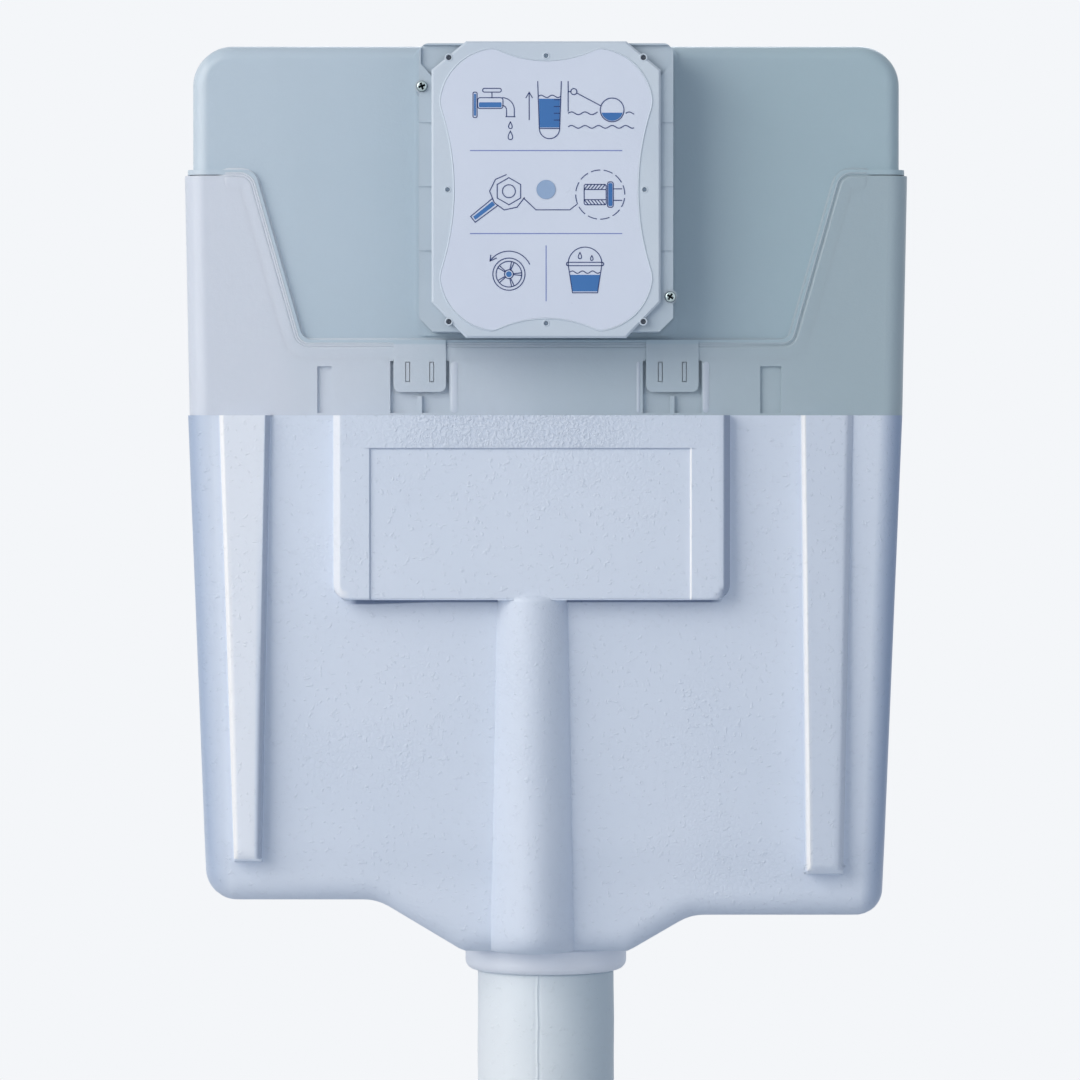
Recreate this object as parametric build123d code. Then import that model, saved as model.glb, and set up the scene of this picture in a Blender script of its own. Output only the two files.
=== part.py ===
from build123d import *
import math
import os

# Sizes are in millimetres. X runs right, the front faces -Y, Z runs up, and the wall plane is Y = 0.
# The origin is the middle of the four wall fixing holes. Depths are distances from the wall plane.

# Clearances shared by all pieces
slip = 0.3
running = 0.05
overrun = 2.0

# Heights, measured down from the top of the tank
fixings_drop = 150.0
shoulder_drop = 77.4
seam_foot_drop = 179.4
band_drop = 221.6
floor_drop = 500.2
sump_drop = 526.0

# Tank shells
shell_wall = 3.0
lid_width = 424.2
lid_corner = 24.0
lid_edge = 8.0
rim_overhang = 5.1
band_taper = 2.7
band_depth = 120.0
rear_gap = 12.0
band_edge = 12.0
body_step = 13.8
body_taper = 11.7
body_corner = 16.0
body_edge = 9.0
body_overlap = 9.0
sump_top_width = 196.0
sump_foot_width = 96.0
sump_corner = 12.0

# Seam between the shells
seam_foot_width = 296.0
seam_shoulder_width = 354.0
seam_corner = 8.0
seam_gap = 0.6
flange_width = 3.0
skirt_depth = 5.0

# Latch tongues, their recesses and the teeth that hold them
latch_spacing = 151.4
tongue_width = 31.4
tongue_length = 28.2
tongue_corner = 4.0
tongue_thickness = 2.4
tongue_lift = 1.4
tongue_slot_width = 2.8
tongue_slot_height = 12.0
tongue_slot_spacing = 14.4
tongue_slot_drop = 10.2
recess_width = 35.4
recess_height = 31.2
recess_drop = 9.6
recess_depth = 3.3
tooth_clearance = 0.4
latch_rib_width = 2.6
latch_rib_height = 10.2

# Narrow recesses beside the latches
slot_recess_depth = 2.2
left_slot_place = -132.8
left_slot_width = 8.7
right_slot_place = 134.7
right_slot_width = 12.6
slot_recess_height = 28.0

# Foam jacket
foam_wall = 14.0
jacket_near = 2.0
jacket_left_overhang = 0.9
jacket_left_taper = 10.5
jacket_right_taper = 11.7
left_shoulder_drop = 514.2
right_shoulder_drop = 523.5
left_corner_radius = 19.0
right_corner_radius = 16.0
left_slope_place = 102.0
right_slope_place = 87.6
slope_foot_place = 50.0
jacket_foot_drop = 545.4
slope_radius = 30.0
jacket_edge = 14.0
jacket_rear_edge = 4.0
front_draft = 8.0

# Raised forms on the front of the jacket
panel_left = 127.5
panel_right = 110.4
panel_foot_drop = 332.6
panel_rise = 11.0
panel_corner = 10.0
panel_draft = 4.5
tray_left = 105.6
tray_right = 87.0
tray_drop = 241.2
tray_depth = 1.5
rib_offset = -8.2
rib_top_width = 42.0
rib_foot_width = 49.8
rib_rise = 13.0
rib_top_drop = 328.0
side_rib_rise = 6.0
left_rib_top_inset = 19.4
left_rib_top_width = 31.0
left_rib_foot_inset = 17.3
left_rib_foot_width = 17.0
left_rib_drop = 489.6
right_rib_top_inset = 30.3
right_rib_top_width = 31.8
right_rib_foot_inset = 24.0
right_rib_foot_width = 22.8
right_rib_drop = 496.8
side_rib_bevel = 3.6

# Collar and sleeve round the flush pipe
collar_radius = 49.3
collar_height = 15.0
pipe_depth = 63.0
collar_edge = 3.0
sleeve_radius = 41.7
sleeve_length = 102.0
pipe_radius = 22.5
pipe_wall = 2.5
bend_radius = 65.0
outlet_drop = 731.7
outlet_reach = 231.0
pipe_entry = 14.0
pipe_seal_height = 8.4

# Flush valve seat
seat_radius = 38.0
seat_flange = 4.0
gasket_height = 3.0
spigot_radius = 29.0
spigot_bore = 25.3
spigot_length = 16.0
lip_height = 8.0
nut_radius = 37.0
nut_height = 10.0
nut_sides = 8

# Flush valve frame
basket_radius = 36.0
basket_wall = 2.2
basket_height = 76.0
window_count = 6
window_width = 22.0
window_height = 56.0
tower_ring_height = 5.0
ring_inner_radius = 27.2
post_radius = 3.2
post_count = 3
post_circle = 32.3
bridge_height = 5.0
bridge_drop = 170.0
shelf_rise = 56.0
shelf_height = 4.0
stop_ring_drop = 298.0
stop_ring_bore = 26.4
ring_bore = 20.0

# Lifting part of the flush valve
tube_radius = 16.0
tube_wall = 2.0
overflow_drop = 195.0
foot_radius = 29.0
foot_height = 4.0
seal_radius = 31.0
seal_height = 3.6
yoke_place = 25.0
yoke_rod_radius = 2.5
yoke_cap_height = 4.0
yoke_cap_width = 12.0
clamp_height = 8.0
clamp_drop = 215.0
clamp_margin = 0.8
bellows_radius = 20.0
bellows_neck = 14.0
bellows_height = 30.0
bellows_turns = 5
fold_shares = (0.3, 0.7)

# Partial flush float
float_radius = 28.4
float_bore = 18.0
float_height = 50.0

# Air line from the bellows to the service opening
air_hose_radius = 2.0
nipple_radius = 1.6
nipple_length = 6.0
connector_place = 40.0
connector_width = 12.0
connector_depth = 16.0
connector_rise = 10.0
air_hose_steps = ((17.0, 0.0, 0.0), (24.0, 17.0, 2.0), (18.0, 38.0, 6.0))
air_hose_end_steps = ((9.0, 34.0, -1.0), (0.0, 18.0, 0.0), (0.0, 0.0, 0.0))

# Share of a run that an arc may take up at each end
run_share = 0.45

# Inspection shaft
shaft_centre_drop = 87.0
shaft_width = 150.5
shaft_height = 170.5
shaft_corner = 5.9
shaft_chamfer = 8.0
shaft_wall = 2.5
shaft_depth = 40.0
rim_thickness = 3.0
opening_width = 108.0
opening_height = 148.0
spigot_width = 132.0
spigot_height = 152.0
spigot_wall = 2.5
spigot_inset = 6.0
pad_width = 158.0
pad_height = 174.0
pad_rise = 1.3
shaft_gasket_height = 1.5
notch_width = 1.2
notch_depth = 0.6
notch_spacing = 37.9
pocket_depth = 2.4
pocket_side = 11.0
pocket_run = 26.0
pocket_step = 7.7
pocket_fall = 19.8
pocket_border = 1.1
cut_line_count = 4
cut_line_pitch = 8.0
cut_line_depth = 0.7
cut_line_start_share = 0.6

# Shaft screws
screw_head_radius = 3.3
screw_head_height = 2.4
screw_shank_radius = 1.75
screw_place = 73.5
upper_screw_drop = 27.2
lower_screw_drop = 151.7
screw_boss_radius = 4.2
screw_boss_length = 9.0
driver_slot = 1.0
driver_width = 4.3
driver_depth = 1.2

# Cover, label and pegs
cover_width = 135.5
cover_height = 175.2
cover_top_drop = 0.85
cover_thickness = 4.0
cover_edge = 1.2
cover_chamfer_side = 20.4
cover_chamfer_top = 16.9
cover_chamfer_foot = 21.1
cover_lip_height = 5.0
cover_lip_wall = 2.0
label_width = 125.0
label_height = 166.2
label_corner = 34.0
label_waist = 8.5
label_waist_chord = 100.0
label_dip = 7.4
label_dip_chord = 62.0
label_thickness = 0.4
label_fillet = 16.0
peg_radius = 1.5
peg_length = 9.0
peg_rise = 0.4
peg_place = 57.5
peg_height_place = 78.0
side_peg_place = 58.2
end_peg_place = 79.0
plug_radius = 5.6
plug_rise = 0.3

# Fill valve
fill_place = -125.0
fill_body_radius = 14.0
fill_body_height = 60.0
fill_body_drop = 70.0
fill_inlet_drop = 90.0
fill_tube_radius = 8.0
fill_tube_wall = 1.5
fill_tube_foot_drop = 480.0
inlet_radius = 6.0
inlet_bore = 4.0
inlet_length = 12.0
head_radius = 15.5
head_height = 6.0
ear_thickness = 3.0
ear_gap = 5.0
ear_length = 10.0
pin_radius = 1.5
pivot_rise = 8.0
pivot_shift = -2.0
lever_height = 5.0
lever_width = 4.2
lever_long_arm = 22.0
lever_short_arm = 8.0
lever_hub_radius = 4.0
pilot_radius = 1.2
pilot_length = 16.0
pilot_gap = 0.4
pilot_stroke = 6.0
fill_float_radius = 28.0
fill_float_bore = 10.0
fill_float_height = 50.0
fill_float_top_drop = 207.0
float_rod_radius = 2.0
rod_gap = 0.8
float_collar_height = 4.0
float_collar_radius = 14.0
guide_bore_gap = 0.4
guide_height = 5.0
guide_drop = 122.0

# Fill valve bracket
bracket_plate_width = 40.0
bracket_plate_height = 40.0
bracket_plate_drop = 92.0
bracket_thickness = 3.0
bracket_arm_width = 22.0
bracket_arm_height = 12.0
bracket_ring_wall = 4.0
bracket_screw_spacing = 26.0
bracket_screw_radius = 1.8
bracket_screw_head = 3.6
bracket_head_height = 2.2
bracket_boss_radius = 4.0
bracket_boss_length = 6.0

# Stop valve and supply hose
stop_place = 45.0
stop_drop = 50.0
inlet_thread_radius = 10.48
inlet_thread_length = 8.0
inlet_neck_radius = 10.2
inlet_waterway = 6.0
stop_body_radius = 11.0
stop_body_length = 42.0
stop_flange_radius = 15.0
stop_flange_height = 3.0
lock_nut_radius = 16.0
lock_nut_height = 7.0
lock_nut_sides = 6
port_radius = 6.0
port_length = 13.0
port_depth = 48.0
spindle_radius = 3.5
spindle_length = 10.0
handle_length = 34.0
handle_width = 9.0
handle_thickness = 6.0
handle_hub_radius = 7.0
handle_round_share = 0.4
supply_hose_radius = 5.5
hose_first_run = 28.0
hose_second_run = 60.0
hose_forward = 12.0
hose_fall = 20.0
hose_last_run = 30.0
hose_nut_radius = 8.5
hose_nut_length = 12.0
hose_nut_sides = 6

# Wall brackets and the hooks on the tank
fixing_spacing = 300.0
fixing_pitch = 50.0
fixing_radius = 4.5
wall_plate_width = 40.0
wall_plate_foot = 40.0
wall_plate_head = 38.0
wall_plate_sheet = 2.0
hook_reach = 9.0
hook_lip_height = 10.0
lug_width = 60.0
lug_thickness = 3.0
lug_lip_height = 8.0

# Widths worked out from the lid's
rim_width = lid_width + 2 * rim_overhang
band_foot_width = rim_width - 2 * band_taper
body_top_width = band_foot_width - 2 * body_step
body_foot_width = body_top_width - 2 * body_taper
jacket_top_left = band_foot_width / 2 + jacket_left_overhang
jacket_top_right = band_foot_width / 2
jacket_foot_left = jacket_top_left - jacket_left_taper
jacket_foot_right = jacket_top_right - jacket_right_taper

# Heights worked out from the top of the tank
top_z = fixings_drop
shoulder_z = top_z - shoulder_drop
seam_foot_z = top_z - seam_foot_drop
band_z = top_z - band_drop
floor_z = top_z - floor_drop
sump_z = top_z - sump_drop
jacket_foot_z = top_z - jacket_foot_drop
outlet_z = top_z - outlet_drop
shaft_z = top_z - shaft_centre_drop
cover_z = top_z - cover_top_drop - cover_height / 2
overflow_z = top_z - overflow_drop
bridge_z = top_z - bridge_drop

# Depths worked out from the wall
nest = shell_wall + slip
band_far = rear_gap + band_depth
lid_near = rear_gap + nest
lid_far = band_far - nest
jacket_far = band_far + jacket_near
body_near = jacket_near + foam_wall + slip
body_far = jacket_far - foam_wall - slip
mid_depth = (body_near + body_far) / 2
pad_face = lid_far + pad_rise
shaft_front = pad_face + shaft_depth
shaft_rear = pad_face + shaft_gasket_height
cover_near = shaft_front + slip
cover_face = cover_near + cover_thickness
label_face = cover_face + label_thickness


def outline(points, radii):
    """A closed outline in the XZ plane, rounded at each corner by its own radius."""
    return make_face(FilletPolyline(*points, radius=radii, close=True))


def slab(face, near, far):
    """The solid between two depths whose section is the given outline."""
    return extrude(Plane.XZ.offset(near) * face, amount=far - near)


def block(width, height, near, far, x, z):
    """A plain box, centred at x and z, between two depths."""
    return Pos(x, -(near + far) / 2, z) * Box(width, far - near, height)


def upright(radius, low, high, x=0.0, depth=pipe_depth, bore=0.0):
    """A vertical cylinder or tube between two heights."""
    solid = Pos(x, -depth, (low + high) / 2) * Cylinder(radius, high - low)
    if bore:
        solid -= Pos(x, -depth, (low + high) / 2) * Cylinder(bore, high - low + 2 * overrun)
    return solid


def spigot(radius, near, far, x, z, bore=0.0):
    """A cylinder or tube that stands out from the wall between two depths."""
    place = Pos(x, -(near + far) / 2, z) * Rot(90, 0, 0)
    solid = place * Cylinder(radius, far - near)
    if bore:
        solid -= place * Cylinder(bore, far - near + 2 * overrun)
    return solid


def crosswise(radius, low, high, depth, z, bore=0.0):
    """A cylinder or tube along X between two places."""
    place = Pos((low + high) / 2, -depth, z) * Rot(0, 90, 0)
    solid = place * Cylinder(radius, high - low)
    if bore:
        solid -= place * Cylinder(bore, high - low + 2 * overrun)
    return solid


def prism(radius, sides, low, high, bore):
    """A nut with flat sides round a bore, standing upright between two heights at the origin."""
    solid = extrude(Pos(0, 0, low) * RegularPolygon(radius, sides), amount=high - low)
    return solid - Pos(0, 0, (low + high) / 2) * Cylinder(bore, high - low + 2 * overrun)


def rim_edges(face, above):
    """The edges round a face, without those at or over a height."""
    return [edge for edge in face.edges() if edge.center().Z < above]


def front_face(solid):
    """The foremost face of a solid."""
    return solid.faces().sort_by(Axis.Y)[0]


def rear_face(solid):
    """The rearmost face of a solid."""
    return solid.faces().sort_by(Axis.Y)[-1]


def front_depth(depth, z):
    """The depth at a height of a front that leans back from the band down."""
    return depth - front_draft * (band_z - z) / (band_z - floor_z)


def behind_front(depth):
    """All the space behind the leaning front, whose depth is given at the foot of the band."""
    high = band_z + lid_width
    low = sump_z - lid_width
    profile = Polyline(
        (0.0, high),
        (-front_depth(depth, high), high),
        (-front_depth(depth, low), low),
        (0.0, low),
        close=True,
    )
    return extrude(Plane.YZ * make_face(profile), amount=lid_width, both=True)


def lid_block(grow):
    """The lid's outer form, grown by a distance, with its front and rear outlines rounded."""
    half = lid_width / 2 + grow
    low = seam_foot_z - skirt_depth - recess_height
    points = [(-half, low), (half, low), (half, top_z + grow), (-half, top_z + grow)]
    radii = [0, 0, lid_corner + grow, lid_corner + grow]
    solid = slab(outline(points, radii), lid_near - grow, lid_far + grow)
    outlines = front_face(solid).edges() + rear_face(solid).edges()
    return fillet([edge for edge in outlines if edge.center().Z > low + slip], lid_edge + grow)


def seam_region(shift):
    """All the space above the seam, which dips in the front and runs level behind."""
    far_side = lid_width
    high = shoulder_z - shift
    low = seam_foot_z - shift
    slope = (seam_shoulder_width - seam_foot_width) / 2 / (shoulder_z - seam_foot_z)
    widen = shift * (math.sqrt(1 + slope**2) - slope)
    foot = seam_foot_width / 2 + widen
    shoulder = seam_shoulder_width / 2 + widen
    front_points = [
        (-far_side, high),
        (-shoulder, high),
        (-foot, low),
        (foot, low),
        (shoulder, high),
        (far_side, high),
        (far_side, top_z + far_side),
        (-far_side, top_z + far_side),
    ]
    turn = seam_corner
    front_radii = [0, turn, turn, turn, turn, 0, 0, 0]
    front = slab(outline(front_points, front_radii), mid_depth, band_far + far_side)
    rear_points = [(-far_side, high), (far_side, high), front_points[-2], front_points[-1]]
    rear = slab(make_face(Polyline(*rear_points, close=True)), -rear_gap, mid_depth)
    return front + rear


def band_block(inset):
    """The upper band of the lower shell, or its hollow when it is drawn in by the wall."""
    rim = rim_width / 2 - inset
    foot = band_foot_width / 2 - inset
    low = band_z + inset
    high = shoulder_z + inset
    face = outline([(-foot, low), (foot, low), (rim, high), (-rim, high)], [0, 0, 0, 0])
    solid = slab(face, rear_gap + inset, band_far - inset)
    leaning = solid.edges().filter_by(lambda edge: abs((edge @ 1).Z - (edge @ 0).Z) > band_edge)
    return fillet(leaning, band_edge - inset)


def body_face():
    """The outline of the tank's lower body, which narrows to a sump over the outlet."""
    high = band_z + body_overlap
    half = body_top_width / 2
    foot = body_foot_width / 2
    sump_top = sump_top_width / 2
    sump_foot = sump_foot_width / 2
    points = [
        (-half, high),
        (-foot, floor_z),
        (-sump_top, floor_z),
        (-sump_foot, sump_z),
        (sump_foot, sump_z),
        (sump_top, floor_z),
        (foot, floor_z),
        (half, high),
    ]
    turn = sump_corner
    return outline(points, [0, body_corner, turn, turn, turn, turn, body_corner, 0])


def body_block(grow):
    """The tank's lower body grown by a distance, which is negative for its hollow."""
    face = body_face()
    if grow:
        face = offset(face, amount=grow, kind=Kind.INTERSECTION)
    solid = slab(face, body_near - grow, body_far + grow + front_draft) & behind_front(body_far + grow)
    high = band_z + body_overlap + grow - slip
    return fillet(rim_edges(front_face(solid), high) + rim_edges(rear_face(solid), high), body_edge + grow)


def latch_recesses(grow):
    """The two recesses for the latch tongues, grown by a distance for the wall behind them."""
    solids = []
    for side in (-1, 1):
        z = seam_foot_z - recess_drop - recess_height / 2
        solids.append(
            block(
                recess_width + 2 * grow,
                recess_height + 2 * grow,
                band_far - recess_depth - grow,
                band_far + overrun,
                side * latch_spacing / 2,
                z,
            )
        )
    return solids


def tongue_channels():
    """The shallow channels that the tongues lie in between the seam and the recesses."""
    height = recess_drop + 2 * overrun
    near = band_far + tongue_lift - tongue_thickness - slip
    z = seam_foot_z - recess_drop - overrun + height / 2
    width = tongue_width + 2 * slip
    return [block(width, height, near, band_far + overrun, side * latch_spacing / 2, z) for side in (-1, 1)]


def slot_recesses(grow):
    """The narrow upright recesses beside the latches."""
    solids = []
    z = seam_foot_z - recess_drop - recess_height + slot_recess_height / 2
    for x, width in ((left_slot_place, left_slot_width), (right_slot_place, right_slot_width)):
        solids.append(
            block(
                width + 2 * grow,
                slot_recess_height + 2 * grow,
                band_far - slot_recess_depth - grow,
                band_far + overrun,
                x,
                z,
            )
        )
    return solids


def latch_details():
    """Teeth that stand through the tongue slots, and the rib under each tongue."""
    solids = []
    floor_depth = band_far - recess_depth
    tooth_z = seam_foot_z - tongue_slot_drop - tongue_slot_height / 2
    recess_foot = seam_foot_z - recess_drop - recess_height
    for side in (-1, 1):
        x = side * latch_spacing / 2
        for part in (-1, 1):
            solids.append(
                block(
                    tongue_slot_width - 2 * tooth_clearance,
                    tongue_slot_height - 2 * tooth_clearance,
                    floor_depth,
                    band_far + tongue_lift,
                    x + part * tongue_slot_spacing / 2,
                    tooth_z,
                )
            )
        rib_z = recess_foot + latch_rib_height / 2
        solids.append(block(latch_rib_width, latch_rib_height, floor_depth, band_far, x, rib_z))
    return solids


def rear_lugs():
    """The down-turned lugs on the back of the tank that drop behind the wall brackets' hooks."""
    solids = []
    lug_z = wall_plate_head + hook_lip_height
    lip_near = rear_gap - hook_reach + wall_plate_sheet / 2
    for side in (-1, 1):
        x = side * fixing_spacing / 2
        shelf = block(lug_width, lug_thickness, lip_near, rear_gap + slip, x, lug_z + lug_thickness / 2)
        lip = block(
            lug_width,
            lug_lip_height,
            lip_near,
            lip_near + lug_thickness - 2 * slip,
            x,
            lug_z - lug_lip_height / 2 + slip,
        )
        solids.append(shelf + lip)
    return solids


def bracket_screw_places():
    """Where the two screws of the fill valve bracket go."""
    middle = top_z - bracket_plate_drop - bracket_plate_height / 2
    return [(fill_place, middle + up * bracket_screw_spacing / 2) for up in (-1, 1)]


def tank_lower_shell():
    outer = band_block(0.0) + body_block(0.0)
    hollow = band_block(shell_wall) + body_block(-shell_wall)
    for pocket in latch_recesses(0.0) + slot_recesses(0.0) + tongue_channels():
        outer -= pocket
    for pocket in latch_recesses(shell_wall) + slot_recesses(shell_wall):
        hollow -= pocket
    for part in rear_lugs():
        outer += part
    for x, z in bracket_screw_places():
        outer += spigot(bracket_boss_radius, rear_gap - bracket_boss_length, rear_gap + shell_wall / 2, x, z)
    shell = outer - hollow
    for part in latch_details():
        shell += part
    for x, z in bracket_screw_places():
        near = rear_gap - bracket_boss_length + shell_wall / 2
        shell -= spigot(bracket_screw_radius + running, near, rear_gap + shell_wall + overrun, x, z)
    shell -= upright(spigot_radius + slip, sump_z - overrun, sump_z + shell_wall + overrun)
    return shell - seam_region(seam_gap)


def latch_tongues():
    """The tongues that hang from the lid's flange over the recesses of the lower shell."""
    solids = []
    near = band_far + tongue_lift - tongue_thickness
    far = band_far + tongue_lift
    for side in (-1, 1):
        x = side * latch_spacing / 2
        half = tongue_width / 2
        high = seam_foot_z + flange_width
        low = seam_foot_z - tongue_length
        face = outline(
            [(x - half, high), (x - half, low), (x + half, low), (x + half, high)],
            [0, tongue_corner, tongue_corner, 0],
        )
        tongue = slab(face, near, far)
        for part in (-1, 1):
            tongue -= block(
                tongue_slot_width,
                tongue_slot_height,
                near - overrun,
                far + overrun,
                x + part * tongue_slot_spacing / 2,
                seam_foot_z - tongue_slot_drop - tongue_slot_height / 2,
            )
        solids.append(tongue)
    return solids


def shaft_pad():
    """The flat pad on the lid that the inspection shaft sits on."""
    low = shaft_z - pad_height / 2
    high = top_z - pad_rise
    half = pad_width / 2
    points = [(-half, low), (half, low), (half, high), (-half, high)]
    face = outline(points, [shaft_corner] * len(points))
    return slab(face, lid_far - lid_edge, pad_face)


def screw_places():
    """Where the two screws of the inspection shaft go."""
    return [(-screw_place, top_z - upper_screw_drop), (screw_place, top_z - lower_screw_drop)]


def tank_upper_shell():
    outer = lid_block(0.0)
    hollow = lid_block(-shell_wall)
    outer += shaft_pad()
    for x, z in screw_places():
        hollow -= spigot(screw_boss_radius, lid_far - screw_boss_length, lid_far, x, z)
    shell = (outer - hollow) & seam_region(skirt_depth)
    flange = (lid_block(nest) - lid_block(0.0)) & (seam_region(0.0) - seam_region(-flange_width))
    shell += flange
    for tongue in latch_tongues():
        shell += tongue
    hole_near = lid_far - lid_edge - overrun
    hole_width = spigot_width + 2 * slip
    hole_height = spigot_height + 2 * slip
    shell -= block(hole_width, hole_height, hole_near, pad_face + overrun, 0, shaft_z)
    screw_foot = lid_far - screw_boss_length + shell_wall
    for x, z in screw_places():
        shell -= spigot(screw_shank_radius + running, screw_foot, pad_face + overrun, x, z)
    inlet_z = top_z - stop_drop
    inner = lid_near + shell_wall + overrun
    return shell - spigot(inlet_neck_radius + slip, lid_near - overrun, inner, stop_place, inlet_z)


def jacket_face():
    """The front view of the foam jacket, whose two shoulders differ in height."""
    left_z = top_z - left_shoulder_drop
    right_z = top_z - right_shoulder_drop
    points = [
        (-jacket_top_left, band_z),
        (-jacket_foot_left, left_z),
        (-left_slope_place, left_z),
        (-slope_foot_place, jacket_foot_z),
        (slope_foot_place, jacket_foot_z),
        (right_slope_place, right_z),
        (jacket_foot_right, right_z),
        (jacket_top_right, band_z),
    ]
    turn = slope_radius
    return outline(points, [0, left_corner_radius, turn, 0, 0, turn, right_corner_radius, 0])


def side_rib(side, top, top_width, foot, foot_width, foot_drop):
    """A raised rib down one side of the jacket, narrowing to its bevelled foot."""
    foot_z = top_z - foot_drop
    points = [
        (side * top, band_z),
        (side * foot, foot_z),
        (side * (foot - foot_width), foot_z),
        (side * (top - top_width), band_z),
    ]
    face = make_face(Polyline(*points, close=True))
    rib = slab(face, front_depth(jacket_far, foot_z) - side_rib_rise, jacket_far + side_rib_rise)
    return chamfer(rim_edges(front_face(rib), band_z - slip), side_rib_bevel)


def raised_panel():
    """The raised panel across the top of the jacket, with its shallow tray open below."""
    foot_z = top_z - panel_foot_drop
    face = outline(
        [(-panel_left, band_z), (-panel_left, foot_z), (panel_right, foot_z), (panel_right, band_z)],
        [0, panel_corner, panel_corner, 0],
    )
    panel = slab(face, jacket_far - panel_rise, jacket_far + panel_rise)
    panel = chamfer(rim_edges(front_face(panel), band_z - slip), panel_draft)
    tray_z = top_z - tray_drop
    width = tray_left + tray_right
    height = tray_z - foot_z + overrun
    face_depth = jacket_far + panel_rise
    tray_x = (tray_right - tray_left) / 2
    tray_near = face_depth - tray_depth
    return panel - block(width, height, tray_near, face_depth + overrun, tray_x, tray_z - height / 2)


def centre_rib():
    """The half-round rib that widens down to the collar, drawn in from the jacket's face."""
    rib_top_z = top_z - rib_top_drop
    sections = []
    for z, width in ((rib_top_z, rib_top_width), (jacket_foot_z, rib_foot_width)):
        depth = front_depth(jacket_far, z)
        sections.append(Pos(rib_offset, -depth, z) * Ellipse(width / 2, jacket_far + rib_rise - depth))
    return loft(sections)


def jacket_front():
    solid = slab(jacket_face(), mid_depth, jacket_far + front_draft) & behind_front(jacket_far)
    solid = fillet(rim_edges(front_face(solid), band_z - slip), jacket_edge)
    left_top = jacket_top_left - left_rib_top_inset
    left_foot = jacket_foot_left - left_rib_foot_inset
    solid += side_rib(-1, left_top, left_rib_top_width, left_foot, left_rib_foot_width, left_rib_drop)
    right_top = jacket_top_right - right_rib_top_inset
    right_foot = jacket_foot_right - right_rib_foot_inset
    solid += side_rib(1, right_top, right_rib_top_width, right_foot, right_rib_foot_width, right_rib_drop)
    solid += raised_panel()
    solid += centre_rib()
    return cut_jacket(solid)


def jacket_rear():
    solid = slab(jacket_face(), jacket_near, mid_depth)
    solid = fillet(rim_edges(rear_face(solid), band_z - slip), jacket_rear_edge)
    return cut_jacket(solid)


def cut_jacket(solid):
    """Takes the tank's lower body and the outlet nut's room out of a jacket half."""
    solid -= body_block(slip)
    room = nut_radius + slip
    return solid - upright(room, jacket_foot_z - overrun, sump_z + shell_wall)


def sleeve_collar():
    low = jacket_foot_z - collar_height
    ring = upright(collar_radius, low, jacket_foot_z, bore=pipe_radius + slip)
    rims = [edge for edge in ring.edges().filter_by(GeomType.CIRCLE) if edge.radius > sleeve_radius]
    return fillet(rims, collar_edge)


def pipe_sleeve():
    high = jacket_foot_z - collar_height
    return upright(sleeve_radius, high - sleeve_length, high, bore=pipe_radius + slip)


def flush_bend():
    high = sump_z - spigot_length + pipe_entry
    path = FilletPolyline(
        (0, -pipe_depth, high),
        (0, -pipe_depth, outlet_z),
        (0, -outlet_reach, outlet_z),
        radius=bend_radius,
    )
    section = Plane(origin=(0, -pipe_depth, high), z_dir=(0, 0, -1))
    outer = sweep(section * Circle(pipe_radius), path=path)
    inner = sweep(section * Circle(pipe_radius - pipe_wall), path=path)
    return outer - inner


def pipe_seal():
    low = sump_z - spigot_length
    return upright(spigot_bore - running, low, low + pipe_seal_height, bore=pipe_radius + running)


def outlet_seat():
    gasket_top = sump_z + shell_wall + gasket_height
    flange = upright(seat_radius, gasket_top, gasket_top + seat_flange, bore=spigot_bore)
    neck_top = gasket_top + seat_flange + lip_height
    neck = upright(spigot_radius, sump_z - spigot_length, neck_top, bore=spigot_bore)
    return flange + neck


def outlet_gasket():
    low = sump_z + shell_wall
    return upright(seat_radius, low, low + gasket_height, bore=spigot_radius + running)


def outlet_nut():
    nut = prism(nut_radius, nut_sides, sump_z - nut_height, sump_z, spigot_radius + running)
    return Pos(0, -pipe_depth, 0) * nut


seat_top = sump_z + shell_wall + gasket_height + seat_flange
basket_top = seat_top + basket_height
shelf_z = basket_top + shelf_rise
lip_top = seat_top + lip_height
seal_low = lip_top + slip
foot_low = seal_low + seal_height


def valve_basket():
    cage = upright(basket_radius, seat_top, basket_top, bore=basket_radius - basket_wall)
    middle = (seat_top + basket_top) / 2
    for turn in range(window_count):
        window = Pos(basket_radius, 0, 0) * Box(basket_radius, window_width, window_height)
        cage -= Pos(0, -pipe_depth, middle) * Rot(0, 0, turn * 360 / window_count) * window
    return cage


def tower_ring(low, high, bore):
    return upright(basket_radius, low, high, bore=bore)


def valve_tower():
    """Posts and rings that guide the float and carry the bridge over the overflow tube."""
    ring_top = basket_top + tower_ring_height
    tower = tower_ring(basket_top, ring_top, ring_inner_radius)
    tower += tower_ring(shelf_z - shelf_height, shelf_z, ring_bore)
    stop_z = top_z - stop_ring_drop
    tower += tower_ring(stop_z, stop_z + shelf_height, stop_ring_bore)
    tower += tower_ring(bridge_z, bridge_z + bridge_height, 0.0)
    for turn in range(post_count):
        angle = math.radians(90 + turn * 360 / post_count)
        x = post_circle * math.cos(angle)
        depth = pipe_depth - post_circle * math.sin(angle)
        tower += upright(post_radius, basket_top, bridge_z + bridge_height, x, depth)
    bridge_top = bridge_z + bridge_height
    for side in (-1, 1):
        tower -= upright(yoke_rod_radius + slip, bridge_z - overrun, bridge_top + overrun, side * yoke_place)
    return tower


def overflow_tube():
    tube = upright(tube_radius, foot_low, overflow_z, bore=tube_radius - tube_wall)
    return tube + upright(foot_radius, foot_low, foot_low + foot_height, bore=tube_radius - tube_wall)


def valve_seal():
    return upright(seal_radius, seal_low, foot_low, bore=tube_radius - tube_wall)


bellows_low = bridge_z + bridge_height
bellows_top = bellows_low + bellows_height


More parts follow.
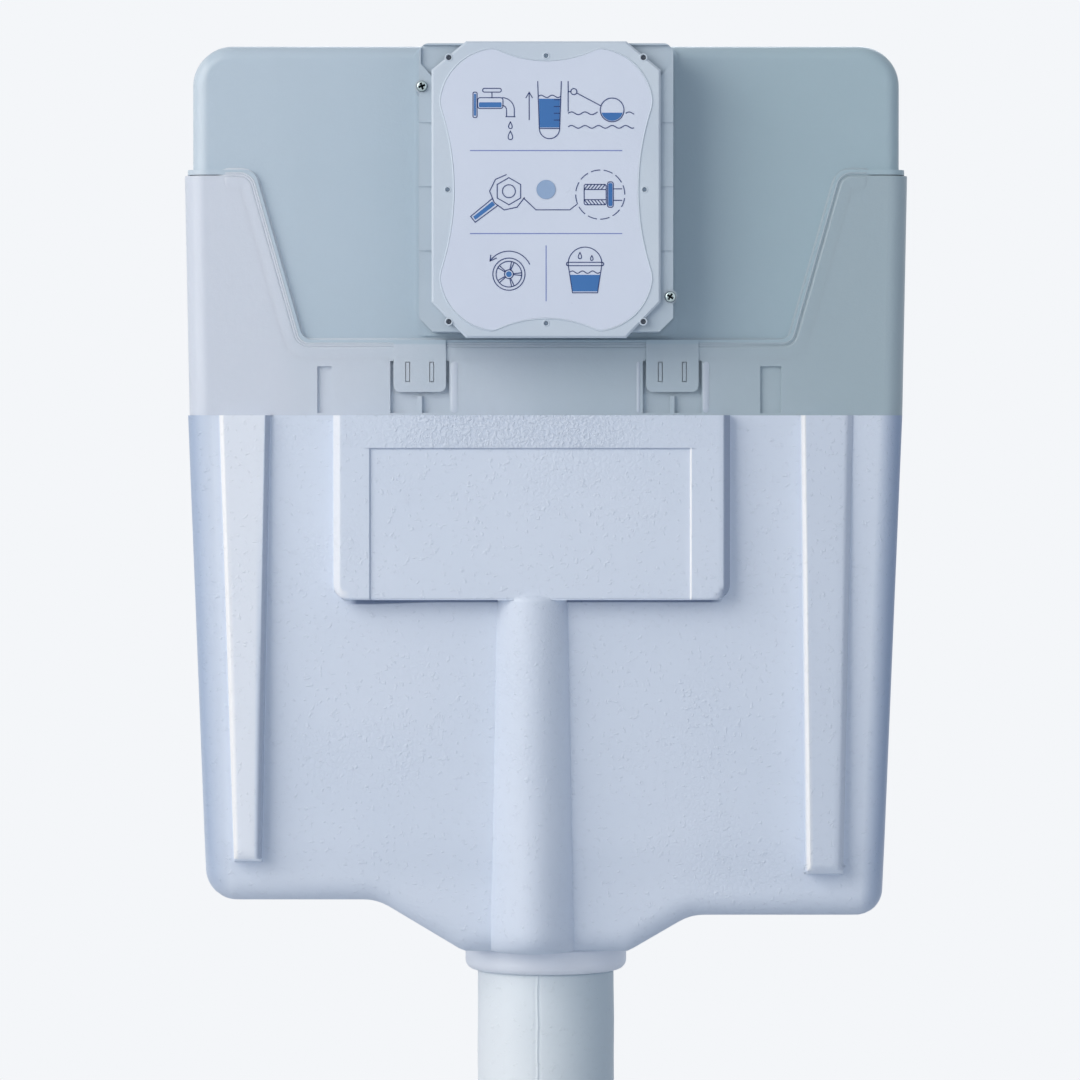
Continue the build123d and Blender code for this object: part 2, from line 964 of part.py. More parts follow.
def lift_yoke():
    """The cap over the bellows, its two rods and the clamp on the overflow tube."""
    clamp_z = top_z - clamp_drop
    cap_top = bellows_top + yoke_cap_height
    middle = (bellows_top + cap_top) / 2
    span = 2 * (yoke_place + 2 * yoke_rod_radius)
    yoke = upright(bellows_radius, bellows_top + slip, cap_top)
    yoke += Pos(0, -pipe_depth, middle + slip / 2) * Box(span, yoke_cap_width, yoke_cap_height - slip)
    clamp_radius = yoke_place + yoke_rod_radius + clamp_margin
    yoke += upright(clamp_radius, clamp_z, clamp_z + clamp_height, bore=tube_radius + running)
    for side in (-1, 1):
        yoke += upright(yoke_rod_radius, clamp_z, cap_top, side * yoke_place)
    return yoke


def lift_bellows():
    """A bellows of rounded folds, turned about its upright axis."""
    fold = bellows_height / bellows_turns
    points = [(0, bellows_low), (bellows_neck, bellows_low)]
    for turn in range(bellows_turns):
        low = bellows_low + turn * fold
        points.append((bellows_radius, low + fold * fold_shares[0]))
        points.append((bellows_radius, low + fold * fold_shares[1]))
        points.append((bellows_neck, low + fold))
    points.append((0, bellows_top))
    profile = make_face(Polyline(*points, close=True))
    return Pos(0, -pipe_depth, 0) * revolve(Plane.XZ * profile, axis=Axis.Z)


def partial_flush_float():
    low = shelf_z + slip
    return upright(float_radius, low, low + float_height, bore=float_bore)


nipple_z = bridge_z + bridge_height / 2
connector_foot = shaft_z - shaft_height / 2 + shaft_wall
connector_top = shaft_z - opening_height / 2 + connector_rise
connector_z = connector_top - connector_rise / 2
connector_near = shaft_front - rim_thickness - connector_depth


def bellows_nipples():
    """The two air nipples on the rim of the bridge."""
    solids = []
    for side in (-1, 1):
        low = min(side * basket_radius, side * (basket_radius + nipple_length))
        solids.append(crosswise(nipple_radius, low, low + nipple_length, pipe_depth, nipple_z))
    return Compound(children=[part.solid() for part in solids])


def air_connectors():
    """The two sockets at the foot of the service opening where an actuator's hoses would plug in."""
    solids = []
    for side in (-1, 1):
        far = shaft_front - rim_thickness
        height = connector_top - connector_foot
        middle = (connector_top + connector_foot) / 2
        socket = block(connector_width, height, connector_near, far, side * connector_place, middle)
        solids.append(socket.solid())
    return Compound(children=solids)


def tube_along(points, radii, radius):
    """A round tube along straight runs joined by arcs, with its volume compared with its length."""
    path = FilletPolyline(*points, radius=radii)
    start = path @ 0
    section = Plane(origin=start, z_dir=path % 0)
    solid = sweep(section * Circle(radius), path=path)
    expected = math.pi * radius**2 * path.length
    print("tube volume share", round(solid.volume / expected, 4), "length", round(path.length, 1))
    return solid


def bend_radii(points, name):
    """The largest arc that the two runs at each corner allow."""
    radii = []
    for before, here, after in zip(points, points[1:], points[2:]):
        first = Vector(*here) - Vector(*before)
        second = Vector(*after) - Vector(*here)
        turn = math.radians(first.get_angle(second))
        radii.append(run_share * min(first.length, second.length) / math.tan(turn / 2))
    print(name, "radii", [round(radius, 1) for radius in radii])
    return radii


def air_hose(side):
    """A thin hose from the bridge's nipple up to the socket at the service opening."""
    start = basket_radius + nipple_length
    points = [(side * start, -pipe_depth, nipple_z)]
    for out, forward, up in air_hose_steps:
        points.append((side * (start + out), -(pipe_depth + forward), nipple_z + up))
    for out, back, up in air_hose_end_steps:
        points.append((side * (connector_place + out), -(connector_near - back), connector_z + up))
    return tube_along(points, bend_radii(points, "air hose"), air_hose_radius)


def inspection_shaft():
    """A box with a front rim, cut lines round its walls and a spigot through the tank wall."""
    half_w = shaft_width / 2
    half_h = shaft_height / 2
    points = [
        (-half_w, shaft_z - half_h),
        (half_w, shaft_z - half_h),
        (half_w, shaft_z + half_h),
        (-half_w, shaft_z + half_h),
    ]
    box = slab(outline(points, [0, 0, shaft_corner, shaft_corner]), shaft_rear, shaft_front)
    foot_edges = [
        edge for edge in box.edges().filter_by(Axis.Y) if edge.center().Z < shaft_z - half_h + slip
    ]
    box = chamfer(foot_edges, shaft_chamfer)
    inner_w = shaft_width - 2 * shaft_wall
    inner_h = shaft_height - 2 * shaft_wall
    room = block(inner_w, inner_h, shaft_rear - overrun, shaft_front - rim_thickness, 0, shaft_z)
    room_feet = [edge for edge in room.edges().filter_by(Axis.Y) if edge.center().Z < shaft_z]
    room = chamfer(room_feet, shaft_chamfer)
    shaft = box - room
    for x, z in screw_places():
        shaft += spigot(screw_boss_radius, shaft_rear, shaft_front, x, z)
    shaft -= block(opening_width, opening_height, shaft_rear, shaft_front + overrun, 0, shaft_z)
    for x, z in screw_places():
        shaft -= spigot(screw_shank_radius + running, shaft_rear - overrun, shaft_front + overrun, x, z)
    shaft = shaft_spigot(shaft)
    for count in range(cut_line_count):
        near = shaft_rear + (count + cut_line_start_share) * cut_line_pitch
        shaft -= cut_line(points, near)
    return rim_details(shaft)


def cut_line(points, near):
    """One groove round the walls of the box, where the installer may cut it shorter."""
    face = outline(points, [0, 0, shaft_corner, shaft_corner])
    groove = slab(offset(face, amount=overrun), near, near + notch_width)
    core = slab(offset(face, amount=-cut_line_depth), near, near + notch_width)
    low = shaft_z - shaft_height / 2 + overrun
    feet = [edge for edge in core.edges().filter_by(Axis.Y) if edge.center().Z < low]
    return groove - chamfer(feet, shaft_chamfer)


def shaft_spigot(shaft):
    """Adds the flange against the gasket and the spigot that reaches into the tank."""
    flange_depth = shaft_rear + spigot_wall
    flange_width = shaft_width - shaft_wall
    flange = block(flange_width, shaft_height - 2 * shaft_chamfer, shaft_rear, flange_depth, 0, shaft_z)
    outer = block(spigot_width, spigot_height, lid_far - spigot_inset, shaft_rear + spigot_wall, 0, shaft_z)
    hole = block(
        spigot_width - 2 * spigot_wall,
        spigot_height - 2 * spigot_wall,
        lid_far - spigot_inset - overrun,
        flange_depth + overrun,
        0,
        shaft_z,
    )
    shaft += flange + outer
    for x, z in screw_places():
        shaft -= spigot(screw_shank_radius + running, shaft_rear - overrun, shaft_front + overrun, x, z)
    return shaft - hole


def rim_details(shaft):
    """Corner pockets, side notches and peg holes in the rim."""
    half_w = shaft_width / 2 - pocket_border
    high = shaft_z + shaft_height / 2 - pocket_border
    for side in (-1, 1):
        points = [
            (side * half_w, high),
            (side * (half_w - pocket_run), high),
            (side * (half_w - pocket_step), high - pocket_fall),
            (side * half_w, high - pocket_side),
        ]
        corner = make_face(Polyline(*points, close=True))
        shaft -= slab(corner, shaft_front - pocket_depth, shaft_front + overrun)
        for step in (-1, 0, 1):
            shaft -= block(
                shaft_width / 2 - cover_width / 2 + overrun,
                notch_width,
                shaft_front - notch_depth,
                shaft_front + overrun,
                side * (cover_width + shaft_width) / 4,
                shaft_z + step * notch_spacing,
            )
    near = shaft_front - rim_thickness - overrun
    for x, z in peg_places():
        shaft -= spigot(peg_radius + slip, near, shaft_front + overrun, x, z)
    return shaft


def shaft_gasket():
    width = shaft_width - 2 * shaft_chamfer
    height = shaft_height - 2 * shaft_chamfer
    near = pad_face - overrun
    far = shaft_rear + overrun
    ring = block(width, height, pad_face, shaft_rear, 0, shaft_z)
    ring -= block(spigot_width + 2 * slip, spigot_height + 2 * slip, near, far, 0, shaft_z)
    for x, z in screw_places():
        ring -= spigot(screw_boss_radius, near, far, x, z)
    return ring


def shaft_screws():
    """Two pan-head screws with cross recesses."""
    solids = []
    for x, z in screw_places():
        foot = lid_far - screw_boss_length + shell_wall + slip
        head = spigot(screw_head_radius, shaft_front, shaft_front + screw_head_height, x, z)
        head = fillet(front_face(head).edges(), screw_head_height / 2)
        screw = head + spigot(screw_shank_radius, foot, shaft_front + slip, x, z)
        top = shaft_front + screw_head_height
        for across, tall in ((driver_width, driver_slot), (driver_slot, driver_width)):
            screw -= block(across, tall, top - driver_depth, top + overrun, x, z)
        solids.append(screw.solid())
    return Compound(children=solids)


def peg_places():
    """Where the eight pegs of the cover go: four corners, two sides, top and foot."""
    corners = [
        (side * peg_place, cover_z + up * peg_height_place) for side in (-1, 1) for up in (-1, 1)
    ]
    sides = [(side * side_peg_place, cover_z) for side in (-1, 1)]
    ends = [(0.0, cover_z + up * end_peg_place) for up in (-1, 1)]
    return corners + sides + ends


def cover_face_outline():
    half_w = cover_width / 2
    high = cover_z + cover_height / 2
    low = cover_z - cover_height / 2
    points = [
        (-half_w, high - cover_chamfer_top),
        (-half_w, low + cover_chamfer_foot),
        (-half_w + cover_chamfer_side, low),
        (half_w - cover_chamfer_side, low),
        (half_w, low + cover_chamfer_foot),
        (half_w, high - cover_chamfer_top),
        (half_w - cover_chamfer_side, high),
        (-half_w + cover_chamfer_side, high),
    ]
    return make_face(Polyline(*points, close=True))


def shaft_cover():
    plate = slab(cover_face_outline(), cover_near, cover_face)
    plate = chamfer(front_face(plate).edges(), cover_edge)
    lip_w = opening_width - 2 * slip
    lip_h = opening_height - 2 * slip
    near = cover_near - cover_lip_height
    lip = block(lip_w, lip_h, near, cover_near + slip, 0, shaft_z)
    room_w = lip_w - 2 * cover_lip_wall
    room_h = lip_h - 2 * cover_lip_wall
    lip -= block(room_w, room_h, near - overrun, cover_near, 0, shaft_z)
    for side in (-1, 1):
        lip -= block(
            connector_width + 2 * overrun,
            connector_rise + 2 * overrun,
            near - overrun,
            cover_near,
            side * connector_place,
            connector_z,
        )
    plate += lip
    for x, z in peg_places():
        plate -= spigot(peg_radius + running, near - overrun, cover_face + overrun, x, z)
    return plate - spigot(plug_radius + running, near - overrun, cover_face + overrun, 0, cover_z)


def label_outline():
    """A rounded rectangle, waisted at the sides and dipped at the top and foot by large circles."""
    base = Pos(0, cover_z) * RectangleRounded(label_width, label_height, label_corner)
    side_radius = (label_waist_chord**2 / 4 + label_waist**2) / (2 * label_waist)
    end_radius = (label_dip_chord**2 / 4 + label_dip**2) / (2 * label_dip)
    for side in (-1, 1):
        base -= Pos(side * (label_width / 2 - label_waist + side_radius), cover_z) * Circle(side_radius)
        base -= Pos(0, cover_z + side * (label_height / 2 - label_dip + end_radius)) * Circle(end_radius)
    return fillet(base.vertices(), label_fillet)


def cover_label():
    label = slab(label_outline(), cover_face, label_face)
    return label - spigot(plug_radius + running, cover_face - overrun, label_face + overrun, 0, cover_z)


def cover_pegs():
    """Eight round pegs with a low domed head each."""
    solids = []
    far = cover_face + peg_rise
    for x, z in peg_places():
        peg = spigot(peg_radius, far - peg_length, far, x, z)
        solids.append(chamfer(peg.edges().filter_by(GeomType.CIRCLE), peg_rise).solid())
    return Compound(children=solids)


def centre_plug():
    far = label_face + plug_rise
    return spigot(plug_radius, cover_near, far, 0, cover_z)


fill_top = top_z - fill_body_drop
fill_foot = fill_top - fill_body_height
float_top = top_z - fill_float_top_drop
float_low = float_top - fill_float_height
pivot_x = fill_place + pivot_shift
pivot_z = fill_top + head_height + pivot_rise
rod_x = pivot_x - lever_long_arm
pilot_x = pivot_x + lever_short_arm


def fill_valve_body():
    """The valve body with its side inlet, pilot chamber and the eye that guides the float rod."""
    body = upright(fill_body_radius, fill_foot, fill_top, fill_place)
    inlet_z = top_z - fill_inlet_drop
    start = fill_place + fill_body_radius
    body += crosswise(inlet_radius, start - overrun, start + inlet_length, pipe_depth, inlet_z)
    body -= crosswise(inlet_bore, fill_place, start + inlet_length + overrun, pipe_depth, inlet_z)
    body -= upright(fill_tube_radius - fill_tube_wall, fill_foot - overrun, inlet_z, fill_place)
    guide_z = top_z - guide_drop
    arm = Box(fill_place - rod_x, 2 * guide_height, guide_height)
    body += Pos((fill_place + rod_x) / 2, -pipe_depth, guide_z) * arm
    body += upright(guide_height, guide_z - guide_height / 2, guide_z + guide_height / 2, rod_x)
    body -= upright(float_rod_radius + guide_bore_gap, guide_z - guide_height, guide_z + guide_height, rod_x)
    body -= upright(fill_tube_radius - fill_tube_wall, fill_foot - overrun, inlet_z, fill_place)
    pilot_foot = fill_top - pilot_length - slip
    return body - upright(pilot_radius + guide_bore_gap, pilot_foot, fill_top + overrun, pilot_x)


def fill_valve_head():
    """The cap on the valve body, with two ears for the lever's pin."""
    head = upright(head_radius, fill_top, fill_top + head_height, fill_place)
    ear_top = pivot_z + lever_hub_radius
    for side in (-1, 1):
        depth = pipe_depth + side * (ear_gap + ear_thickness) / 2
        ear = Pos(pivot_x, -depth, (fill_top + head_height + ear_top) / 2) * Box(
            ear_length, ear_thickness, ear_top - fill_top - head_height
        )
        head += ear
    reach = ear_gap / 2 + ear_thickness + overrun
    head -= spigot(pin_radius, pipe_depth - reach, pipe_depth + reach, pivot_x, pivot_z)
    return head - upright(pilot_radius + guide_bore_gap, fill_top - overrun, ear_top + overrun, pilot_x)


def lever_pin():
    reach = ear_gap / 2 + ear_thickness
    return spigot(pin_radius, pipe_depth - reach, pipe_depth + reach, pivot_x, pivot_z)


def float_lever():
    """The lever that the float rod lifts and whose short arm presses the pilot pin."""
    far_end = lever_short_arm + float_rod_radius
    length = lever_long_arm + lever_short_arm + 2 * float_rod_radius
    centre = pivot_x + far_end - length / 2
    lever = Pos(centre, -pipe_depth, pivot_z) * Box(length, lever_width, lever_height)
    near = pipe_depth - lever_width / 2
    far = pipe_depth + lever_width / 2
    lever += spigot(lever_hub_radius, near, far, pivot_x, pivot_z)
    return lever - spigot(pin_radius + running, near - overrun, far + overrun, pivot_x, pivot_z)


def pilot_pin():
    high = pivot_z - lever_height / 2 - pilot_gap
    return upright(pilot_radius, fill_top - pilot_length + pilot_stroke, high, pilot_x)


def fill_outlet_tube():
    """The long outlet tube with the collar that stops the float."""
    low = top_z - fill_tube_foot_drop
    tube = upright(fill_tube_radius, low, fill_foot, fill_place)
    collar_top = float_low - slip
    tube += upright(float_collar_radius, collar_top - float_collar_height, collar_top, fill_place)
    return tube - upright(fill_tube_radius - fill_tube_wall, low - overrun, fill_foot + overrun, fill_place)


def fill_float():
    return upright(fill_float_radius, float_low, float_top, fill_place, bore=fill_float_bore)


def float_rod():
    high = pivot_z - lever_height / 2 - rod_gap
    return upright(float_rod_radius, float_top, high, rod_x)


def fill_bracket():
    """A plate on the tank's rear wall with an arm and a ring round the valve body."""
    near = rear_gap + shell_wall
    middle = top_z - bracket_plate_drop - bracket_plate_height / 2
    ring_z = middle
    far = near + bracket_thickness
    bracket = block(bracket_plate_width, bracket_plate_height, near, far, fill_place, middle)
    arm = block(bracket_arm_width, bracket_arm_height, near, pipe_depth, fill_place, ring_z)
    ring_radius = fill_body_radius + running
    ring_foot = ring_z - bracket_arm_height / 2
    ring = upright(ring_radius + bracket_ring_wall, ring_foot, ring_foot + bracket_arm_height, fill_place)
    bracket += arm
    bracket += ring
    bracket -= upright(ring_radius, ring_z - bracket_arm_height, ring_z + bracket_arm_height, fill_place)
    half = guide_height + slip
    guide_z = top_z - guide_drop
    guide_room = Box(fill_place - rod_x, 2 * half, 2 * half + bracket_arm_height)
    bracket -= Pos(rod_x, -pipe_depth, guide_z) * guide_room
    for x, z in bracket_screw_places():
        bracket -= spigot(bracket_screw_radius + running, near - overrun, far + overrun, x, z)
    return bracket


def bracket_screws():
    solids = []
    for x, z in bracket_screw_places():
        seat = rear_gap + shell_wall + bracket_thickness
        foot = rear_gap - bracket_boss_length + shell_wall
        head = spigot(bracket_screw_head, seat, seat + bracket_head_height, x, z)
        solids.append((head + spigot(bracket_screw_radius, foot, seat + slip, x, z)).solid())
    return Compound(children=solids)


stop_z = top_z - stop_drop
stop_near = lid_near + shell_wall
stop_far = stop_near + stop_flange_height + stop_body_length


def stop_valve_body():
    """The inlet valve: a threaded stub through the tank wall, a flange, a body and a side port."""
    body = spigot(inlet_thread_radius, 0.0, inlet_thread_length, stop_place, stop_z)
    body += spigot(inlet_neck_radius, inlet_thread_length / 2, stop_near + slip, stop_place, stop_z)
    body += spigot(stop_flange_radius, stop_near, stop_near + stop_flange_height, stop_place, stop_z)
    body += spigot(stop_body_radius, stop_near, stop_far, stop_place, stop_z)
    port_start = stop_place - stop_body_radius
    body += crosswise(port_radius, port_start - port_length, stop_place, port_depth, stop_z)
    body -= spigot(inlet_waterway, -overrun, port_depth, stop_place, stop_z)
    body -= crosswise(inlet_bore, port_start - port_length - overrun, stop_place, port_depth, stop_z)
    spindle_seat = stop_far - spindle_length - slip
    return body - spigot(spindle_radius + running, spindle_seat, stop_far + overrun, stop_place, stop_z)


def stop_valve_handle():
    """A short lever on its spindle, which turns a quarter turn."""
    near = stop_far + slip
    far = near + handle_thickness
    half = handle_length / 2
    handle = spigot(handle_hub_radius, near, far, stop_place, stop_z)
    handle += block(handle_width, handle_length, near, far, stop_place, stop_z)
    edges = handle.edges().filter_by(Axis.Y)
    tips = [edge for edge in edges if abs(edge.center().Z - stop_z) > half - slip]
    handle = fillet(tips, handle_width * handle_round_share)
    return handle + spigot(spindle_radius, stop_far - spindle_length, near + slip, stop_place, stop_z)


def inlet_lock_nut():
    nut = prism(lock_nut_radius, lock_nut_sides, 0.0, lock_nut_height, inlet_neck_radius + running)
    return Pos(stop_place, -lid_near, stop_z) * Rot(-90, 0, 0) * nut


hose_start_x = stop_place - stop_body_radius - port_length
hose_end_x = fill_place + fill_body_radius + inlet_length
fill_inlet_z = top_z - fill_inlet_drop


def supply_hose():
    """The braided hose from the stop valve to the fill valve."""
    points = [
        (hose_start_x, -port_depth, stop_z),
        (hose_start_x - hose_first_run, -port_depth, stop_z),
        (hose_start_x - hose_second_run, -(port_depth + hose_forward), stop_z - hose_fall),
        (hose_end_x + hose_last_run, -pipe_depth, fill_inlet_z),
        (hose_end_x, -pipe_depth, fill_inlet_z),
    ]
    return tube_along(points, bend_radii(points, "supply hose"), supply_hose_radius)


def hose_nuts():
    """The union nuts over both ends of the supply hose."""
    solids = []
    half = hose_nut_length / 2
    for x, depth, z in ((hose_start_x, port_depth, stop_z), (hose_end_x, pipe_depth, fill_inlet_z)):
        nut = prism(hose_nut_radius, hose_nut_sides, -half, half, port_radius + running)
        solids.append((Pos(x, -depth, z) * Rot(0, 90, 0) * nut).solid())
    return Compound(children=solids)


def wall_bracket(side):
    """A plate on the wall whose top turns forward and up into a hook."""
    x = side * fixing_spacing / 2
    low = -wall_plate_foot
    high = wall_plate_head
    plate = block(wall_plate_width, high - low, 0.0, wall_plate_sheet, x, (low + high) / 2)
    reach = hook_reach + wall_plate_sheet / 2
    plate += block(wall_plate_width, wall_plate_sheet, 0.0, reach, x, high - wall_plate_sheet / 2)
    lip_z = high + hook_lip_height / 2 - wall_plate_sheet / 2
    plate += block(
        wall_plate_width, hook_lip_height + wall_plate_sheet, reach - wall_plate_sheet, reach, x, lip_z
    )
    for up in (-1, 1):
        plate -= spigot(fixing_radius, -overrun, wall_plate_sheet + overrun, x, up * fixing_pitch / 2)
    return plate


def save(name, shape):
    export_step(shape, os.path.join("parts", name + ".step"))


os.makedirs("parts", exist_ok=True)
save("tank_lower_shell", tank_lower_shell())
save("tank_upper_shell", tank_upper_shell())
save("jacket_front", jacket_front())
save("jacket_rear", jacket_rear())
save("sleeve_collar", sleeve_collar())
save("pipe_sleeve", pipe_sleeve())
save("flush_bend", flush_bend())
save("pipe_seal", pipe_seal())
save("outlet_seat", outlet_seat())
save("outlet_gasket", outlet_gasket())
save("outlet_nut", outlet_nut())
save("valve_basket", valve_basket())
save("valve_tower", valve_tower())
save("overflow_tube", overflow_tube())
save("valve_seal", valve_seal())
save("lift_yoke", lift_yoke())
save("lift_bellows", lift_bellows())
save("partial_flush_float", partial_flush_float())
save("bellows_nipples", bellows_nipples())
save("air_connectors", air_connectors())
save("air_hose_left", air_hose(-1))
save("air_hose_right", air_hose(1))
save("inspection_shaft", inspection_shaft())
save("shaft_gasket", shaft_gasket())
save("shaft_screws", shaft_screws())
save("shaft_cover", shaft_cover())
save("cover_label", cover_label())
save("cover_pegs", cover_pegs())
save("centre_plug", centre_plug())
save("fill_valve_body", fill_valve_body())
save("fill_valve_head", fill_valve_head())
save("lever_pin", lever_pin())
save("float_lever", float_lever())
save("pilot_pin", pilot_pin())
save("fill_outlet_tube", fill_outlet_tube())
save("fill_float", fill_float())
save("float_rod", float_rod())
save("fill_bracket", fill_bracket())
save("bracket_screws", bracket_screws())
save("stop_valve_body", stop_valve_body())
save("stop_valve_handle", stop_valve_handle())
save("inlet_lock_nut", inlet_lock_nut())
save("supply_hose", supply_hose())
save("hose_nuts", hose_nuts())
save("wall_bracket_left", wall_bracket(-1))
save("wall_bracket_right", wall_bracket(1))
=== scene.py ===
import math

import bmesh
import bpy
import numpy as np
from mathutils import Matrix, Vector


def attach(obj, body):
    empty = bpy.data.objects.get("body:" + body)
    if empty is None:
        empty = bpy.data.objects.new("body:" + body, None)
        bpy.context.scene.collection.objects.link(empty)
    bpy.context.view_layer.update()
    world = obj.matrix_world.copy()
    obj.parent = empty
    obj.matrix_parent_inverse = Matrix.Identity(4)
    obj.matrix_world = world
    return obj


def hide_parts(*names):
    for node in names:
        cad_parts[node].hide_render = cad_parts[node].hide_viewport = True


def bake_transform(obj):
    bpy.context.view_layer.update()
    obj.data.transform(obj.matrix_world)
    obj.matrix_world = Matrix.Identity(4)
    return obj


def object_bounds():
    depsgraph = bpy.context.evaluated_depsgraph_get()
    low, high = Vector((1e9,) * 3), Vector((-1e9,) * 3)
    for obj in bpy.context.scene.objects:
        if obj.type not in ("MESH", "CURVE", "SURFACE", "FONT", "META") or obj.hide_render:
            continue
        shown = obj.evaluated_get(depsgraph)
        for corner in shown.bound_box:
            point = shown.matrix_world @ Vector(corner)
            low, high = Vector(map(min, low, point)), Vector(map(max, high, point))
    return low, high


# The frame is in metres. X runs right, the front faces -Y, Z runs up, and the wall plane is Y = 0.

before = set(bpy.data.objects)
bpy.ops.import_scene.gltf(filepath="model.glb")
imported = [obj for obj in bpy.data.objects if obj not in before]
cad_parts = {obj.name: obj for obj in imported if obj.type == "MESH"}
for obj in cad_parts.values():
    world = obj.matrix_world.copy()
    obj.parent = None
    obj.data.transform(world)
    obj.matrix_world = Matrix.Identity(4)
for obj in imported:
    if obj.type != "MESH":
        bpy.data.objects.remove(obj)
cad_low, cad_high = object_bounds()
mm = 0.001

# Camera, in metres, and its lens in millimetres; it looks from a long way off and a little from above

camera_x = -0.0036
camera_z = -0.0924
camera_distance = 3.15
view_plane = 0.131
view_centre_z = -0.1464
lens_length = 175.0
backdrop = "f4f6f9"

# Lamps: place, target and size in metres, power in watts, and colour

lamps = {
    "key_light": ((-2.05, -2.0, 0.95), (0.0, -0.1, -0.2), (2.8, 2.2), 60.0, "fffaf4"),
    "fill_light": ((1.8, -3.0, 0.4), (0.0, -0.1, -0.15), (2.0, 2.0), 8.0, "eaf1fb"),
    "rim_light": ((0.4, 2.2, 1.6), (0.0, -0.1, -0.15), (1.6, 1.0), 16.0, "eef4ff"),
}

# All sizes from here on are in millimetres

# Foam jacket

band_z = -71.6
floor_z = -350.2
jacket_near = 2.0
jacket_far = 134.0
jacket_part = 68.0
jacket_foot = -395.4
front_draft = 8.0
foot_fall = 2.2
foot_fall_reach = 34.0
side_taper = 0.0359

# Its outline from the top of the left side down; a corner turns outwards (1) or inwards (-1)

jacket_corners = [(-215.4, band_z), (-204.9, -364.2), (-102.0, -364.2), (-50.0, jacket_foot),
                  (50.0, jacket_foot), (87.6, -373.5), (202.8, -373.5), (214.5, band_z)]
jacket_radii = [19.0, 30.0, 1.0, 1.0, 30.0, 16.0]
jacket_turns = [1, -1, 1, 1, -1, 1]

# Its walls, and how far the outer and the inner skin are rounded where they meet the front or the rear

side_wall = 13.5
front_wall = 14.0
front_edges = (14.0, 9.0)
rear_edges = (4.0, 3.0)

# Raised panel and its tray, as left, right and foot or top; the groove under the panel, wider at its left

panel_box = (-127.5, 110.4, -182.6)
panel_corner = 10.0
panel_face = 145.0
panel_bevel = (4.5, 1.7)
tray_box = (-105.6, 87.0, -91.2)
tray_fall = 1.5
tray_wall = 0.9
groove_depth = 2.4
groove_drop = 0.9
groove_half = 1.2
groove_gain = 0.7
groove_clear = (9.0, 7.0)
groove_fade = 5.0

# Side ribs: left and right edge at the top, the same at the foot, and the foot's height

left_rib = ((-196.0, -165.0), (-187.6, -170.6), -339.6)
right_rib = ((152.4, 184.2), (156.0, 178.8), -346.8)

# Each with the widths of its left and right bevel, how far its face falls to the right (to the left below 0),
# and its painted light on the left bevel, face and right bevel: painted highlight above 0, painted shade
# below it

side_ribs = (
    (left_rib, (2.6, 3.2), -2.0, (0.95, 0.32, -0.82)),
    (right_rib, (2.4, 4.0), 3.2, (0.95, 0.0, -0.2)),
)
side_rib_face = 140.0
rib_foot_bevel = 5.0
rib_bevel_fall = 3.0

centre_rib_x = -8.2
centre_rib_half = (21.0, 24.9)
centre_rib_face = 147.0
centre_rib_top = -176.5
centre_rib_round = 7.0

# Painted light on the skin: painted highlight and shade at the panel's left and right bevel, painted shade
# in the groove, and painted shade and highlight along the tray's edges

panel_painted_light = (0.55, -0.62)
groove_painted_shade = -0.85
groove_painted_shade_clear = (9.0, 5.0)
tray_painted_shade = -0.35
tray_right_painted_highlight = 0.8

# Where the foam's finish changes. The grainy strip above the tray fades out at its left and right.
# A painted shade on the far sides comes in between two x places, measured at the band's height, and towards
# the front between two y places. A painted shade on the sleeve comes in from its left to its right.

strip_left = (-115.0, -60.0)
strip_right = (80.0, 20.0)
outer_reach = (200.0, 212.0)
outer_front = (-108.0, -122.0)
sleeve_right_painted_shade = (-24.0, 58.0)

# Finer lines of the jacket's grid at its upright edges, from the outermost inwards: how far inside the edge,
# within what reach and at what step. At its level edges, the first is the distance below the part's origin.

upright_fine = ((1.6, 2.0, 0.4), (1.6, 2.4, 0.4), (2.0, 2.8, 0.4), (0.6, 1.2, 0.3), (2.7, 3.6, 0.9))
upright_ways = (1, -1, 1, 1, 1, -1, -1, -1, 1, -1)
level_fine = ((91.2, 1.5, 0.3), (183.4, 3.6, 0.4), (175.4, 4.0, 0.8), (338.5, 3.0, 0.8))
centre_rib_fine = (centre_rib_x, 15.0, 2.0)
face_reach = (-201.4, 200.5)
row_split = -341.0

# Tank shells, and the seam between them

tank_half_width = 215.0
tank_face = 132.0
lid_face = 128.7
lid_painted_highlight_rim = (-201.9, -204.4)
seam_foot_z = -29.4
seam_corners = [(-204.0, 72.6), (-177.0, 72.6), (-148.0, seam_foot_z),
                (148.0, seam_foot_z), (177.0, 72.6), (204.0, 72.6)]
seam_radius = 8.0
seam_reach = 200.0
seam_crest = tank_face + 0.3
seam_sink = 3.0
seam_fade = 9.0

# Beads at the seam: a rounded start with its width and depth; then for each bead how far above the seam it
# starts, to which side it runs, how far and how deep it falls. The weld between them, and how deep it sinks.

bead_round = (0.6, 0.4)
lid_bead = (0.2, 1, 3.4, seam_crest - lid_face)
band_bead = (-1.0, -1, 7.0, 0.27)
weld_middle = -0.4
weld_width = 2.2
weld_root = 1.0
weld_sink = (0.02, 0.62)

# Beads beside the recesses: place and width, top and foot, root in the wall and height above it

recess_bead_places = ((-55.0, 5.8), (55.3, 2.6), (95.9, 4.8))
recess_bead_ends = (-38.8, -70.6)
recess_bead_root = 0.6
recess_bead_rise = 0.4
recess_bead_fade = 2.5

# Collar and sleeve, which share the pipe's axis. The collar is rounded above and below. The sleeve's lip
# has a height and a half width; the groove beside it has a depth, a half width and a distance from the lip.

pipe_depth = 63.0
pipe_bore = 22.8
collar_foot = -410.4
collar_radius = 49.3
collar_rounds = (1.6, 6.0)
sleeve_radius = 41.7
sleeve_lip = (0.5, 0.5)
sleeve_groove = (0.16, 0.8, 1.5)
sleeve_length = 102.0
sleeve_edge = 2.0
sleeve_seam_turn = -math.asin(5.1 / sleeve_radius)

